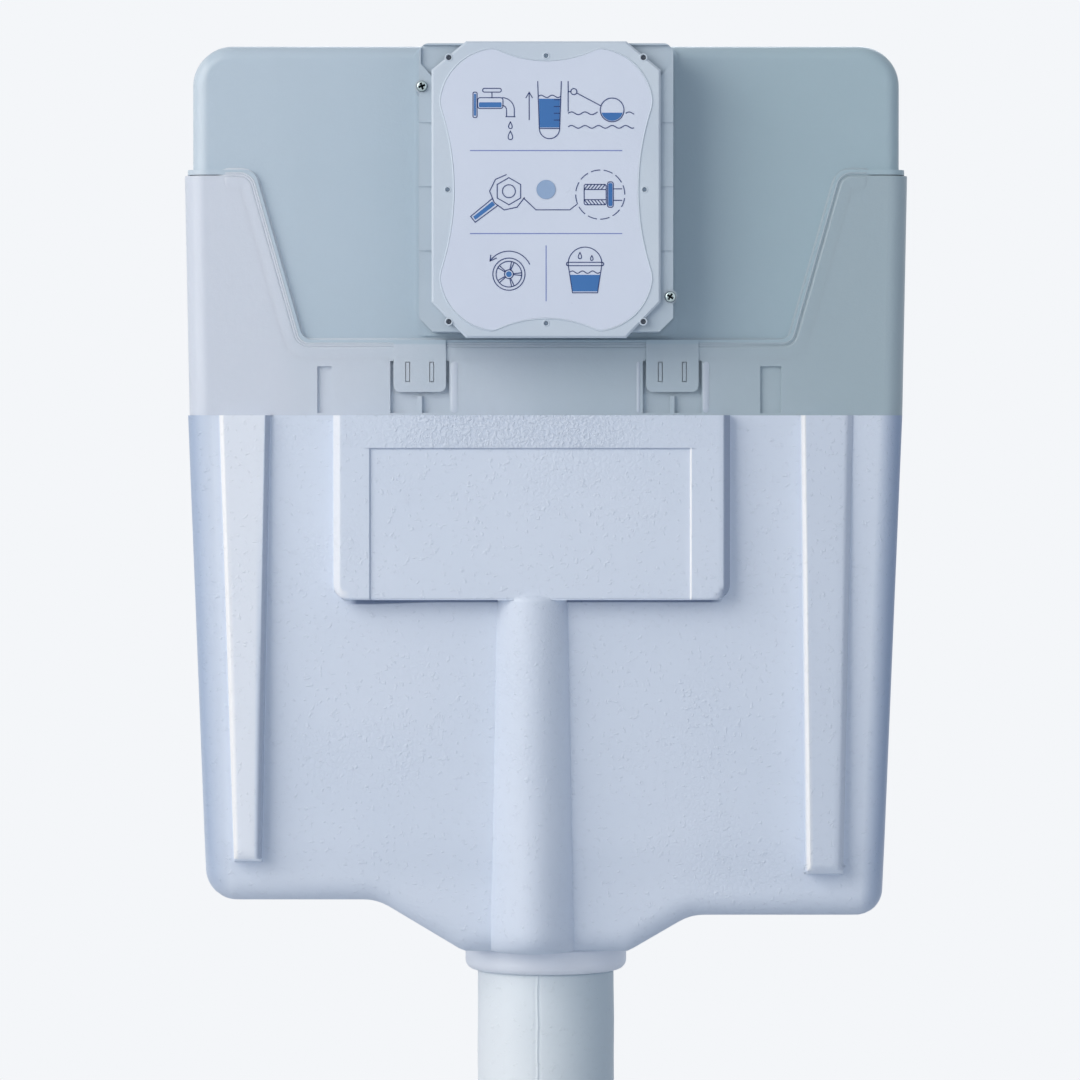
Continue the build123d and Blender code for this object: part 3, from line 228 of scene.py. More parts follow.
# Cover and label: the label's corners, and the depth and chord of the large circles that cut into its sides

cover_z = 61.55
cover_face = 174.3
label_face = 174.7
label_half = (62.5, 83.1)
label_corner = 34.0
label_waist = (8.5, 100.0)
label_dip = (7.4, 62.0)
label_blend = 1.4
label_wave = 0.05
border_width = 1.1
border_rise = 0.15
film_root = 0.1
plug_hole = 5.7

# Ink: width of a stroke, how far it stands off the film, and colour; its root in the film

ink = {"drawing_rules": (0.6, 0.06, "7f8ec6"), "drawing_lines": (0.55, 0.1, "17336f")}
ink_area = (0.07, "3f79b9", "3670b2")
ink_root = 0.15

# Pegs: places on the cover, radius, how far the head stands out, and colour. Then the ring round each.

peg_groups = {
    "corner_pegs": ([(57.5, 78.0), (57.5, -78.0), (-57.5, 78.0), (-57.5, -78.0)], 1.45, 0.35, "243040"),
    "edge_pegs": ([(58.2, 0.0), (-58.2, 0.0), (0.0, 79.0), (0.0, -79.0)], 1.15, 0.2, "6d8093"),
}
peg_back = 166.0
peg_gap = 0.1
peg_ring = 0.45

# Screws of the shaft: place and turn of the cross; head, its cross, and the shank

shaft_screws = [(-73.5, 122.8, 0.35), (73.5, -1.7, 1.0)]
shaft_front = 170.0
head_radius = 3.3
head_rise = 2.4
head_edge = 1.3
cross_half = 0.55
cross_reach = 2.0
cross_depth = 1.25
crown_fall = 0.012
shank_radius = 1.75
shank_back = 122.8

# Hoses: radius; length in metres; control points as (x, depth, z). The air line's are those of the right one.

air_line_size = (2.0, 0.111)
air_line_route = [(42, 63, -17.5), (59, 63, -17.5), (66, 80, -15.5), (60, 101, -11.5),
                  (49, 117, -7), (40, 133, -6), (40, 151, -6)]
water_hose_size = (5.5, 0.132)
water_hose_route = [(21, 48, 100), (-7, 48, 100), (-39, 60, 80), (-69, 63, 60), (-99, 63, 60)]

bellows_ends = (-15.0, 15.0)
bellows_radii = (14.0, 20.0)
bellows_folds = 5


# Colours and nodes

def tone(text):
    """The linear colour of a web colour such as d0d8e0."""
    parts = np.array([int(text[at : at + 2], 16) for at in (0, 2, 4)]) / 255.0
    linear = np.where(parts <= 0.04045, parts / 12.92, ((parts + 0.055) / 1.055) ** 2.4)
    return (*[float(part) for part in linear], 1.0)


class Nodes:
    """A node tree under construction."""

    def __init__(self, tree):
        self.tree = tree

    def put(self, socket, value):
        """Links a node's output to a socket, or sets the socket to a number, a list or a web colour."""
        if isinstance(value, bpy.types.NodeSocket):
            self.tree.links.new(value, socket)
        else:
            socket.default_value = tone(value) if isinstance(value, str) else value

    def add(self, kind, inputs=None, **settings):
        """A new node with its settings, and its inputs by name or number."""
        node = self.tree.nodes.new(kind)
        for name, value in settings.items():
            setattr(node, name, value)
        for name, value in (inputs or {}).items():
            self.put(node.inputs[name], value)
        return node

    def sum(self, first, second, operation="ADD"):
        """The sum of two numbers, or the result of another operation on them."""
        return self.add("ShaderNodeMath", {0: first, 1: second}, operation=operation).outputs[0]

    def times(self, first, second):
        """The product of two numbers."""
        return self.sum(first, second, "MULTIPLY")

    def seen(self):
        """1 where the camera looks, straight, in a reflection or through something clear, and 0
        elsewhere."""
        rays = self.add("ShaderNodeLightPath").outputs
        straight = self.sum(rays["Is Camera Ray"], rays["Is Glossy Ray"], "MAXIMUM")
        return self.sum(straight, rays["Is Transmission Ray"], "MAXIMUM")


class Finish(Nodes):
    """A material under construction, with its main shader and the place of each point on its object."""

    def __init__(self, name, roughness, **sockets):
        self.material = bpy.data.materials.new(name)
        self.material.use_nodes = True
        super().__init__(self.material.node_tree)
        self.shader = self.tree.nodes["Principled BSDF"]
        for socket, value in {"Roughness": roughness, **sockets}.items():
            self.shader.inputs[socket.replace("_", " ")].default_value = value
        self.place = self.add("ShaderNodeTexCoord").outputs["Object"]

    def stretched(self, scale, turn=(0.0, 0.0, 0.0)):
        """Object coordinates scaled along each axis, for grain that runs one way."""
        inputs = {"Vector": self.place, "Scale": scale, "Rotation": turn}
        return self.add("ShaderNodeMapping", inputs).outputs[0]

    def noise(self, scale, detail=2.0, rough=0.5, place=None):
        """Soft noise between 0 and 1."""
        inputs = {"Vector": place or self.place, "Scale": scale, "Detail": detail, "Roughness": rough}
        return self.add("ShaderNodeTexNoise", inputs).outputs["Fac"]

    def cell_edges(self, scale):
        """How far each point lies from the edge of its cell, in a pattern of packed cells."""
        inputs = {"Vector": self.place, "Scale": scale}
        return self.add("ShaderNodeTexVoronoi", inputs, feature="DISTANCE_TO_EDGE").outputs["Distance"]

    def along(self, letter):
        """The place along one axis of the object, in metres."""
        return self.add("ShaderNodeSeparateXYZ", {"Vector": self.place}).outputs[letter]

    def span(self, value, low, high):
        """Goes from 0 to 1 as a value goes from low to high."""
        return self.add("ShaderNodeMapRange", {"Value": value, "From Min": low, "From Max": high}).outputs[0]

    def axis(self, letter, low, high):
        """Goes from 0 to 1 between two places along one axis of the object, in millimetres."""
        return self.span(self.along(letter), mm * low, mm * high)

    def ramp(self, value, *stops):
        """A colour or grey ramp from (place, web colour) stops."""
        node = self.add("ShaderNodeValToRGB", {"Fac": value})
        band = node.color_ramp
        while len(band.elements) < len(stops):
            band.elements.new(0.5)
        for element, (place, text) in zip(band.elements, stops):
            element.position = place
            element.color = tone(text)
        return node.outputs["Color"]

    def mask(self, value, low, high, top="ffffff"):
        """Black up to one value, and white or a grey from another."""
        return self.ramp(value, (low, "000000"), (high, top))

    def mix(self, share, first, second):
        """A colour between two others, at a share of the way."""
        return self.add("ShaderNodeMix", {0: share, 6: first, 7: second}, data_type="RGBA").outputs[2]

    def colour(self, value):
        """Gives the shader its colour."""
        self.put(self.shader.inputs["Base Color"], value)
        return self

    def rough(self, value, low, high):
        """Lets the roughness wander between two values."""
        node = self.add("ShaderNodeMapRange", {"Value": value, "To Min": low, "To Max": high})
        self.put(self.shader.inputs["Roughness"], node.outputs[0])
        return self

    def bump(self, height, distance, strength):
        """Fine grain: a height between 0 and 1 over a distance in metres."""
        node = self.add("ShaderNodeBump", {"Height": height, "Distance": distance, "Strength": strength})
        self.put(self.shader.inputs["Normal"], node.outputs[0])
        return self


# Finishes: functions for the kinds of material, then one finish for each material slot of the record

def milky_tank(name, tones, foot=()):
    """Natural blow-moulded plastic: milky, clouded, with faint upright streaks and a fine orange-peel skin.
    Its three tones run from left to right, darker that way: painted shade over its own colour. A lid, which
    has a foot, has a painted highlight at its left rim, and below the seam the three tones of its foot."""
    milk = {"Subsurface_Weight": 0.2, "Subsurface_Scale": 0.004, "Subsurface_Radius": (1.0, 1.1, 1.05)}
    finish = Finish(name, 0.4, Coat_Weight=0.1, **milk)
    places = (0.08, 0.5, 0.92)
    streaks = finish.noise(9.0, 3.0, 0.5, finish.stretched((1.0, 1.0, 0.12)))
    clouds = finish.sum(finish.sum(finish.noise(5.0, 3.0), streaks), -1.0)
    # painted shade: the colour runs darker from the left to the right along x
    drift = finish.sum(finish.axis("X", -tank_half_width, tank_half_width), finish.times(clouds, 0.45))
    colour = finish.ramp(drift, *zip(places, tones))
    if foot:
        # painted highlight along the lid's left rim
        colour = finish.mix(finish.times(finish.axis("X", *lid_painted_highlight_rim), 0.5), colour, "d3dfe8")
        below = finish.axis("Z", seam_foot_z + 1.0, seam_foot_z)
        colour = finish.mix(below, colour, finish.ramp(drift, *zip(places, foot)))
    finish.colour(colour)
    finish.rough(finish.noise(60.0), 0.34, 0.48)
    return finish.bump(finish.noise(420.0, 3.0), 0.00025, 0.45).material


def white_foam(name="white_foam", light="dfe8f5", shade="dae4f2", grain=1.0, outer_shade=0.0, right_painted_shade=""):
    """Expanded bead foam: a smooth moulded skin with scattered specks, and patches where the fused beads, 2
    to 4 mm across, show with shallow joints between them. The strip above the tray is grainy nearly right
    across. With an outer shade, a painted shade darkens the front rounding of the far sides, more on the
    right, and the mesh's painted light tone adds a painted highlight or a painted shade to the skin. A
    painted shade comes in towards the right of the sleeve."""
    finish = Finish(name, 0.52, Sheen_Weight=0.05)
    beads = finish.mask(finish.cell_edges(310.0), 0.0, 0.25)
    specks = finish.mask(finish.noise(330.0, 2.0, 0.6), 0.6, 0.7)
    patches = finish.mask(finish.noise(16.0, 3.0), 0.48, 0.68, "909090")
    crumbs = finish.mask(finish.noise(420.0, 2.0, 0.7), 0.42, 0.62)
    above = finish.axis("Z", tray_box[2] - 0.5, tray_box[2] + 1.0)
    front = finish.axis("Y", 2.0 - panel_face, 1.0 - panel_face)
    middle = finish.times(finish.axis("X", *strip_left), finish.axis("X", *strip_right))
    strip = finish.times(finish.times(above, front), finish.sum(middle, 0.25, "MAXIMUM"))
    joints = finish.times(finish.sum(1.0, beads, "SUBTRACT"), finish.times(patches, 0.09 * grain))
    pits = finish.times(finish.sum(1.0, crumbs, "SUBTRACT"), finish.times(strip, 0.12 * grain))
    drift = finish.ramp(finish.noise(9.0), (0.3, shade), (0.7, light))
    colour = finish.mix(finish.sum(joints, pits), drift, "93a6c6")
    if right_painted_shade:
        # painted shade towards the right of the sleeve
        colour = finish.mix(finish.axis("X", *sleeve_right_painted_shade), colour, right_painted_shade)
    if outer_shade:
        # painted shade on the front rounding of the far sides
        near, far = outer_reach
        taper = finish.times(finish.sum(finish.along("Z"), -mm * band_z), side_taper)
        out = finish.sum(finish.sum(finish.along("X"), 0.0, "ABSOLUTE"), taper, "SUBTRACT")
        share = finish.times(finish.span(out, mm * near, mm * far), finish.axis("Y", *outer_front))
        # the painted shade is darker towards the right
        side = finish.ramp(finish.axis("X", -near, near), (0.3, "9db0cc"), (0.7, "829cc1"))
        colour = finish.mix(finish.times(share, outer_shade), colour, side)
        # painted light tone from the mesh: white above 0 is a painted highlight, dark blue below 0 a painted
        # shade
        edge = finish.add("ShaderNodeAttribute", attribute_name="edge_tone").outputs["Fac"]
        colour = finish.mix(finish.sum(edge, 0.0, "MAXIMUM"), colour, "ffffff")
        colour = finish.mix(finish.sum(finish.times(edge, -1.0), 0.0, "MAXIMUM"), colour, "5f7498")
    finish.colour(colour)
    grains = finish.sum(finish.times(beads, patches), finish.times(specks, 0.55))
    return finish.bump(finish.sum(grains, finish.times(crumbs, strip)), 0.00075 * grain, 0.56).material


def moulded(name, text, roughness, second="", grain=900.0, depth=0.00012):
    """Moulded plastic with a fine grain: one colour, or a faint drift between two."""
    finish = Finish(name, roughness)
    finish.colour(finish.ramp(finish.noise(14.0), (0.3, text), (0.7, second)) if second else text)
    finish.rough(finish.noise(120.0), roughness - 0.06, roughness + 0.06)
    return finish.bump(finish.noise(grain), depth, 0.4).material


def metal(name, text, roughness, bright="f0f2f4"):
    """Plated or bare metal with fine drawn lines and a slight patchiness."""
    finish = Finish(name, roughness, Metallic=1.0)
    lines = finish.noise(220.0, 4.0, 0.6, finish.stretched((1.0, 1.0, 12.0)))
    finish.colour(finish.ramp(finish.noise(40.0, 3.0), (0.25, text), (0.8, bright)))
    finish.rough(lines, roughness - 0.08, roughness + 0.12)
    return finish.bump(lines, 0.00005, 0.5).material


def bright_screw():
    """Bright zinc on the crown of the head, and a painted shade, near black, in the cross and under the rim,
    which lie lower."""
    finish = Finish("bright_screw", 0.24, Metallic=1.0)
    crown = finish.axis("Y", -shaft_front - 1.3, -shaft_front - 1.85)
    # painted shade in the cross and under the rim
    return finish.colour(finish.mix(crown, "11181c", "a9b8bb")).material


def braided():
    """A woven steel sleeve: two sets of crossing strands round the hose."""
    finish = Finish("braided_hose", 0.35, Metallic=0.9)
    strands = []
    for lean in (0.7, -0.7):
        place = finish.stretched((1.0, 1.0, 1.0), (0.0, lean, lean))
        strands.append(finish.add("ShaderNodeTexWave", {"Vector": place, "Scale": 190.0}).outputs["Fac"])
    weave = finish.times(*strands)
    finish.colour(finish.ramp(weave, (0.0, "70767c"), (0.7, "d9dde0")))
    return finish.bump(weave, 0.0004, 0.8).material


# Arguments of moulded: colour and roughness, and for some a second colour and a coarser grain
plastics = {
    "pale_shaft_plastic": ("b4c3cf", 0.4, "bccad5"),
    "cover_plastic": ("ccd8e4", 0.38, "d3dee8"),
    "label_film": ("dbe3f2", 0.3, "dfe7f5"),
    "peg_grey": ("6f7f8f", 0.4),
    "plug_blue": ("93add0", 0.35, "9ab4d5"),
    "black_rubber": ("1c1e20", 0.7),
    "grey_pipe": ("c4cdd2", 0.4, "cbd4d8"),
    "white_valve_plastic": ("e3e7ea", 0.36, "e9edf0"),
    "blue_valve_plastic": ("3f78b8", 0.36, "4880be"),
    "float_foam": ("e6e6e0", 0.6, "", 500.0, 0.0003),
    "air_line": ("b9d0df", 0.3, "c3d8e5"),
    "handle_plastic": ("2b6cab", 0.4, "3374b2"),
}
# The shells' tones run from left to right: their own colour, with a painted shade that darkens them to the
# right
lower_tones_with_painted_shade = ("d6dde8", "bfccd6", "aabcc4")
finishes = {
    "milky_tank": milky_tank("milky_upper", ("bfcfdb", "b1c3cf", "acc2cb"), lower_tones_with_painted_shade),
    "white_foam": white_foam(outer_shade=0.78),
    "zinc_steel": metal("zinc_steel", "3c474c", 0.26, "6d787d"),
    "galvanised_sheet": metal("galvanised_sheet", "a9b2b8", 0.42),
    "plated_brass": metal("plated_brass", "b9bcc0", 0.22),
    "braided_hose": braided(),
    **{name: moulded(name, *values) for name, values in plastics.items()},
}
milky_lower = milky_tank("milky_lower", lower_tones_with_painted_shade)
# painted light: a paler copy of the tank's finish for the lid's seam bead, which lifts the shade on its
# falling wall
milky_edge = milky_tank("milky_edge", ("dbe3ec", "bccad5", "aebfc8"))
# painted highlight: a paler copy of the tank's finish for the beads beside the latch recesses
milky_rim = milky_tank("milky_rim", ("dae3ee", "ced9e6", "c0ccd9"))
smooth_foam = white_foam("smooth_foam", "f6f9ff", "f0f5fd", 0.25)
sleeve_foam = white_foam("sleeve_foam", "f4f9fc", "eef5f9", 0.8, right_painted_shade="b4c6d0")

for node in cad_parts.values():
    for material_slot in node.material_slots:
        name = material_slot.material.name.split(".")[0]
        material_slot.material = finishes.get(name, material_slot.material)
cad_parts["tank_lower_shell"].material_slots[0].material = milky_lower


# Mesh building: surfaces are grids of points (x, depth, z), welded into one closed mesh

def smooth(value):
    """Goes from 0 to 1 as value does, with no slope at either end."""
    value = np.clip(value, 0.0, 1.0)
    return value * value * (3.0 - 2.0 * value)


def between(first, last, share):
    """Values between two others, at shares of the way."""
    return first * (1 - share) + last * share


def unit(rows):
    """Rows of vectors brought to length 1."""
    return rows / np.linalg.norm(rows, axis=1)[:, None]


def left_of(ways):
    """Flat vectors turned a quarter to their left."""
    return np.stack([-ways[:, 1], ways[:, 0]], 1)


def with_depth(plane, depth):
    """Points (x, z) given a depth, as (x, depth, z)."""
    return np.stack([plane[..., 0], np.broadcast_to(depth, plane.shape[:-1]), plane[..., 1]], -1)


def mesh_of(name, grids, sharp=35.0):
    """One mesh from grids of shape (rows, columns, 3); edges that meet are welded, normals face outwards,
    and edges sharper than an angle in degrees stay crisp."""
    points, faces, start = [], [], 0
    for grid in grids:
        rows, columns = grid.shape[:2]
        index = start + np.arange(rows * columns).reshape(rows, columns)
        corners = (index[:-1, :-1], index[1:, :-1], index[1:, 1:], index[:-1, 1:])
        faces.append(np.stack(corners, -1).reshape(-1, 4))
        points.append(grid.reshape(-1, 3))
        start += rows * columns
    points = np.concatenate(points) * (mm, -mm, mm)
    mesh = bpy.data.meshes.new(name)
    mesh.from_pydata(points, [], np.concatenate(faces).tolist())
    work = bmesh.new()
    work.from_mesh(mesh)
    bmesh.ops.remove_doubles(work, verts=work.verts, dist=2e-6)
    bmesh.ops.dissolve_degenerate(work, edges=work.edges, dist=1e-7)
    bmesh.ops.recalc_face_normals(work, faces=work.faces)
    work.to_mesh(mesh)
    work.free()
    mesh.shade_smooth()
    mesh.set_sharp_from_angle(angle=math.radians(sharp))
    return mesh


def place_piece(name, mesh, slot, body, *nodes, finish=None):
    """Makes the object of a piece, with its finish, by default the one for its slot, and its body, and hides
    the
    CAD nodes it stands for. A piece given no body is attached to none here."""
    piece = bpy.data.objects.new(name, mesh)
    bpy.context.scene.collection.objects.link(piece)
    mesh.materials.append(finish or finishes[slot])
    if body:
        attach(piece, body)
    if nodes:
        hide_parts(*nodes)
    return piece


def piece_of(name, grids, slot, body, *nodes, sharp=35.0, finish=None):
    """Makes a piece from grids of points."""
    return place_piece(name, mesh_of(name, grids, sharp), slot, body, *nodes, finish=finish)


def dense(low, high, step, *places):
    """Places from low to high: every step, and every fine step within reach of each (place, reach, fine)
    given."""
    runs = [np.arange(place - reach, place + reach + near / 2, near) for place, reach, near in places]
    fine = np.unique(np.round(np.concatenate(runs), 3))
    fine = fine[np.concatenate([[True], np.diff(fine) > 0.15])]
    coarse = np.arange(low, high, step)
    coarse = coarse[np.abs(coarse[:, None] - fine[None]).min(1) > 0.5]
    inside = np.concatenate([fine, coarse])
    inside = inside[(inside > low + 0.3) & (inside < high - 0.3)]
    return np.concatenate([[low], np.sort(inside), [high]])


def inset_corners(corners, inset):
    """The corners of an open path moved to its left by a distance, each on its two moved runs. Its ends
    keep their height."""
    corners = np.asarray(corners, float)
    normals = left_of(unit(np.diff(corners, axis=0)))
    before, after = normals[:-1], normals[1:]
    moved = corners.copy()
    moved[1:-1] += inset * (before + after) / (1.0 + (before * after).sum(1, keepdims=True))
    for end in (0, -1):
        moved[end, 0] += inset / normals[end, 0]
    return moved


def rounded_path(corners, radii, steps):
    """Straight runs joined by arcs: each arc touches both of its runs."""
    parts = [corners[:1]]
    for before, here, after, radius in zip(corners, corners[1:], corners[2:], radii):
        one = (before - here) / np.linalg.norm(before - here)
        two = (after - here) / np.linalg.norm(after - here)
        half = math.acos(float(one @ two)) / 2
        centre = here + (one + two) / np.linalg.norm(one + two) * radius / math.sin(half)
        start = here + one * radius / math.tan(half) - centre
        end = here + two * radius / math.tan(half) - centre
        first = math.atan2(start[1], start[0])
        sweep = math.atan2(start[0] * end[1] - start[1] * end[0], float(start @ end))
        angles = first + sweep * np.linspace(0, 1, steps + 1)
        parts.append(centre + radius * np.stack([np.cos(angles), np.sin(angles)], 1))
    return np.concatenate([*parts, corners[-1:]])


def resample(path, shares):
    """Points on a path at shares of its length."""
    length = np.concatenate([[0], np.cumsum(np.linalg.norm(np.diff(path, axis=0), axis=1))])
    return np.stack([np.interp(shares * length[-1], length, path[:, axis]) for axis in (0, 1)], 1)


def turned(profile, centre_x, centre_depth, segments):
    """A profile of (radius, z) points carried round an upright axis."""
    profile = np.asarray(profile, float)
    angles = np.linspace(0.0, 2 * math.pi, segments + 1)[:, None]
    x = centre_x + profile[None, :, 0] * np.sin(angles)
    depth = centre_depth + profile[None, :, 0] * np.cos(angles)
    return np.stack([x, depth, np.broadcast_to(profile[None, :, 1], x.shape)], -1)


def pressed(profile, x, z, segments=32):
    """A profile of (radius, depth) points carried round an axis that runs from the front to the back."""
    profile = np.asarray(profile, float)
    angles = np.linspace(0.0, 2 * math.pi, segments + 1)[:, None]
    across = x + profile[None, :, 0] * np.cos(angles)
    up = z + profile[None, :, 0] * np.sin(angles)
    return np.stack([across, np.broadcast_to(profile[None, :, 1], across.shape), up], -1)


def capped(ring):
    """A fan that closes a ring of points towards its middle."""
    return np.stack([np.broadcast_to(ring[:-1].mean(0), ring.shape), ring])


def carried(path, profile, closed=False):
    """A closed profile of (across, depth) points carried along a path of (x, z) points, mitred at each
    corner."""
    path = np.asarray(path, float)
    if closed:
        path = np.concatenate([path, path[:1]])
    normals = left_of(unit(np.diff(path, axis=0)))
    before = np.concatenate([normals[-1:] if closed else normals[:1], normals])
    after = np.concatenate([normals, normals[:1] if closed else normals[-1:]])
    mitres = (before + after) / np.maximum(1.0 + (before * after).sum(1, keepdims=True), 0.4)
    profile = np.asarray(profile, float)
    grid = with_depth(path[:, None] + mitres[:, None] * profile[None, :, :1], profile[None, :, 1])
    return [grid] if closed else [grid, capped(grid[0]), capped(grid[-1])]


# Foam jacket

def rib_edges(z, rib):
    """Where the left and the right edge of a side rib stand at each height."""
    tops, feet, foot_z = rib
    share = (band_z - z) / (band_z - foot_z)
    return [top + (foot - top) * share for top, foot in zip(tops, feet)]


def centre_rib_reach(z):
    """How far the centre rib reaches to either side at each height."""
    share = np.clip((centre_rib_top - z) / (centre_rib_top - jacket_foot), 0.0, 1.0)
    return centre_rib_half[0] + (centre_rib_half[1] - centre_rib_half[0]) * share


def upright_edges(z):
    """Where the upright edges of the raised forms stand at each height, from left to right: the left rib,
    the panel, its tray, the centre rib, the tray, the panel and the right rib."""
    half = centre_rib_reach(z)
    edges = [panel_box[0], tray_box[0], centre_rib_x - half, centre_rib_x + half, tray_box[1], panel_box[1]]
    edges = [*rib_edges(z, left_rib), *edges, *rib_edges(z, right_rib)]
    return np.stack([np.broadcast_to(edge, z.shape) for edge in edges], 1)


def jacket_grid_lines():
    """Shares across and heights down the jacket, closer together where its raised forms have edges, and
    shares from the split down to its foot."""
    left, right = face_reach
    edges = zip(upright_edges(np.array([band_z]))[0], upright_ways, upright_fine + upright_fine[::-1])
    places = [(edge + way * shift, reach, near) for edge, way, (shift, reach, near) in edges]
    across = dense(left, right, 4.0, *places, centre_rib_fine)
    down = dense(-band_z, -row_split, 4.0, *level_fine)
    return (across - left) / (right - left), -down, np.linspace(0.0, 1.0, 15)


shares_across, rows_down, shares_below = jacket_grid_lines()


def jacket_ring(inset):
    """The jacket's outline moved inwards: down the left side, along the foot and up the right side, as
    points (x, z) at the grid's own heights and shares, so that rings of different insets join up."""
    steps = 16
    radii = [max(radius - turn * inset, 0.5) for radius, turn in zip(jacket_radii, jacket_turns)]
    path = rounded_path(inset_corners(jacket_corners, inset), radii, steps)
    left_end = 1 + steps // 2
    right_start = 1 + 5 * (steps + 1) + steps // 2
    sides = []
    for side in (path[: left_end + 1], path[right_start:][::-1]):
        places = np.interp(-rows_down, -side[:, 1], side[:, 0])
        split = np.array([[np.interp(-row_split, -side[:, 1], side[:, 0]), row_split]])
        below = resample(np.concatenate([split, side[side[:, 1] < row_split]]), shares_below)
        sides.append(np.concatenate([np.stack([places, rows_down], 1), below[1:]]))
    foot_path = path[left_end : right_start + 1]
    left, right = face_reach
    edges = upright_edges(np.array([band_z, jacket_foot]))[:, 4:6]
    knots = [0.0, *((edges[0] - left) / (right - left)), 1.0]
    x = np.interp(shares_across, knots, [foot_path[0, 0], *edges[1], foot_path[-1, 0]])
    foot = np.stack([x, np.interp(x, foot_path[:, 0], foot_path[:, 1])], 1)
    return np.concatenate([sides[0], foot[1:-1], sides[1][::-1]])


def jacket_patch(ring, aligned):
    """Fills a ring: level rows between its sides down to the split, and a Coons patch from there to the
    foot. On an aligned patch the columns run along the upright edges of the raised forms."""
    rows = len(rows_down)
    side_count = rows + len(shares_below) - 1
    left, right = ring[:side_count], ring[::-1][:side_count]
    foot = ring[None, side_count - 1 : len(ring) - side_count + 1]
    u = shares_across[None, :, None]
    v = shares_below[:, None, None]
    shares = np.broadcast_to(shares_across, (rows, len(shares_across)))
    if aligned:
        start, reach = left[:rows, :1], right[:rows, :1] - left[:rows, :1]
        knots = (upright_edges(rows_down) - start) / reach
        knots = np.pad(knots, ((0, 0), (1, 1)), constant_values=(0.0, 1.0))
        shares = np.stack([np.interp(shares_across, knots[0], row) for row in knots])
    level = between(left[:rows, None], right[:rows, None], shares[..., None])
    top = level[-1][None]
    ends = between(between(top[:, :1], top[:, -1:], u), between(foot[:, :1], foot[:, -1:], u), v)
    sides = between(left[rows - 1 :, None], right[rows - 1 :, None], u)
    below = between(top, foot, v) + sides - ends
    return np.concatenate([level, below[1:]])


def leaning_depth(depth, z):
    """A front that leans back evenly from the tank's band to the floor's height, and a little more at the
    foot."""
    lean = front_draft * (band_z - z) / (band_z - floor_z)
    return depth - lean - foot_fall * smooth((row_split + foot_fall_reach / 2 - z) / foot_fall_reach)


def panel_inside(x, z):
    """How far inside the panel, which is open at the top and has round lower corners, and which edge is
    nearest: 0 at its sides, 1 at its foot, and between them round a corner."""
    left, right, low = panel_box
    across = np.minimum(x - left, right - x)
    up = z - low
    corner = (across < panel_corner) & (up < panel_corner)
    round_inside = panel_corner - np.hypot(panel_corner - across, panel_corner - up)
    inside = np.where(corner, round_inside, np.minimum(across, up))
    turn = np.arctan2(panel_corner - up, panel_corner - across) / (math.pi / 2)
    return inside, np.where(corner, turn, np.where(up < across, 1.0, 0.0))


def along_foot(x, clear):
    """1 along the panel's foot, and 0 up to a clear distance from its left and its right corner."""
    left = smooth((x - panel_box[0] - clear[0]) / groove_fade)
    return left * smooth((panel_box[1] - clear[1] - x) / groove_fade)


def rib_inside(x, z, rib):
    """How far inside a side rib from its left edge, its right edge and its foot; the edges run straight
    down."""
    left, right = rib_edges(z, rib)
    return x - left, right - x, z - rib[2]


def centre_rib_depth(x, z):
    """A low arch across that widens to the foot: 1 less the square of the share of its half width, to the
    power of 0.78, which is fuller than a parabola. Its top is a quarter circle."""
    base = leaning_depth(jacket_far, z)
    across = np.clip(1.0 - ((x - centre_rib_x) / centre_rib_reach(z)) ** 2, 0.0, None)
    start = np.clip((centre_rib_top - z) / centre_rib_round, 0.0, 1.0)
    return base + (centre_rib_face - base) * across**0.78 * np.sqrt(1.0 - (1.0 - start) ** 2)


def raised(base, top, inside, share, bevel):
    """A raised form: an upright wall at its edge, and then a bevel at about 45 degrees that rounds over to
    its face, as the power of 1.25 of the share of the bevel that is still to come."""
    fall = np.minimum(bevel, 0.8 * (top - base)) * (1.0 - np.clip(share, 0.0, 1.0)) ** 1.25
    return base + (top - fall - base) * np.clip(inside / 0.4, 0.0, 1.0)


def relief_depth(x, z):
    """The jacket's front: leaning ground, bevelled side ribs, the raised panel with its tray, the narrow
    groove under the panel, which is a bell curve of the height, and the centre rib. The highest form at a
    point wins."""
    base = leaning_depth(jacket_far, z)
    depth = base
    for rib, (left_bevel, right_bevel), tilt, _ in side_ribs:
        left, right, foot = rib_inside(x, z, rib)
        across = np.clip(left / (left + right), 0.0, 1.0)
        top = side_rib_face - abs(tilt) * (across if tilt > 0 else 1.0 - across)
        share = np.minimum.reduce([left / left_bevel, right / right_bevel, foot / rib_foot_bevel])
        form = raised(base, top, np.minimum.reduce([left, right, foot]), share, rib_bevel_fall)
        depth = np.maximum(depth, form)
    inside, turn = panel_inside(x, z)
    bevel = panel_bevel[0] + (panel_bevel[1] - panel_bevel[0]) * smooth(turn)
    depth = np.maximum(depth, raised(base, panel_face, inside, inside / bevel, bevel))
    tray = np.minimum.reduce([x - tray_box[0], tray_box[1] - x, tray_box[2] - z])
    depth = depth - tray_fall * smooth(tray / tray_wall) * smooth(inside)
    under = (panel_box[2] - groove_drop - z) / (groove_half + groove_gain * smooth((-40.0 - x) / 70.0))
    depth = depth - groove_depth * along_foot(x, groove_clear) * np.exp(-(under**2)) * (inside < 0.0)
    return np.maximum(depth, centre_rib_depth(x, z))


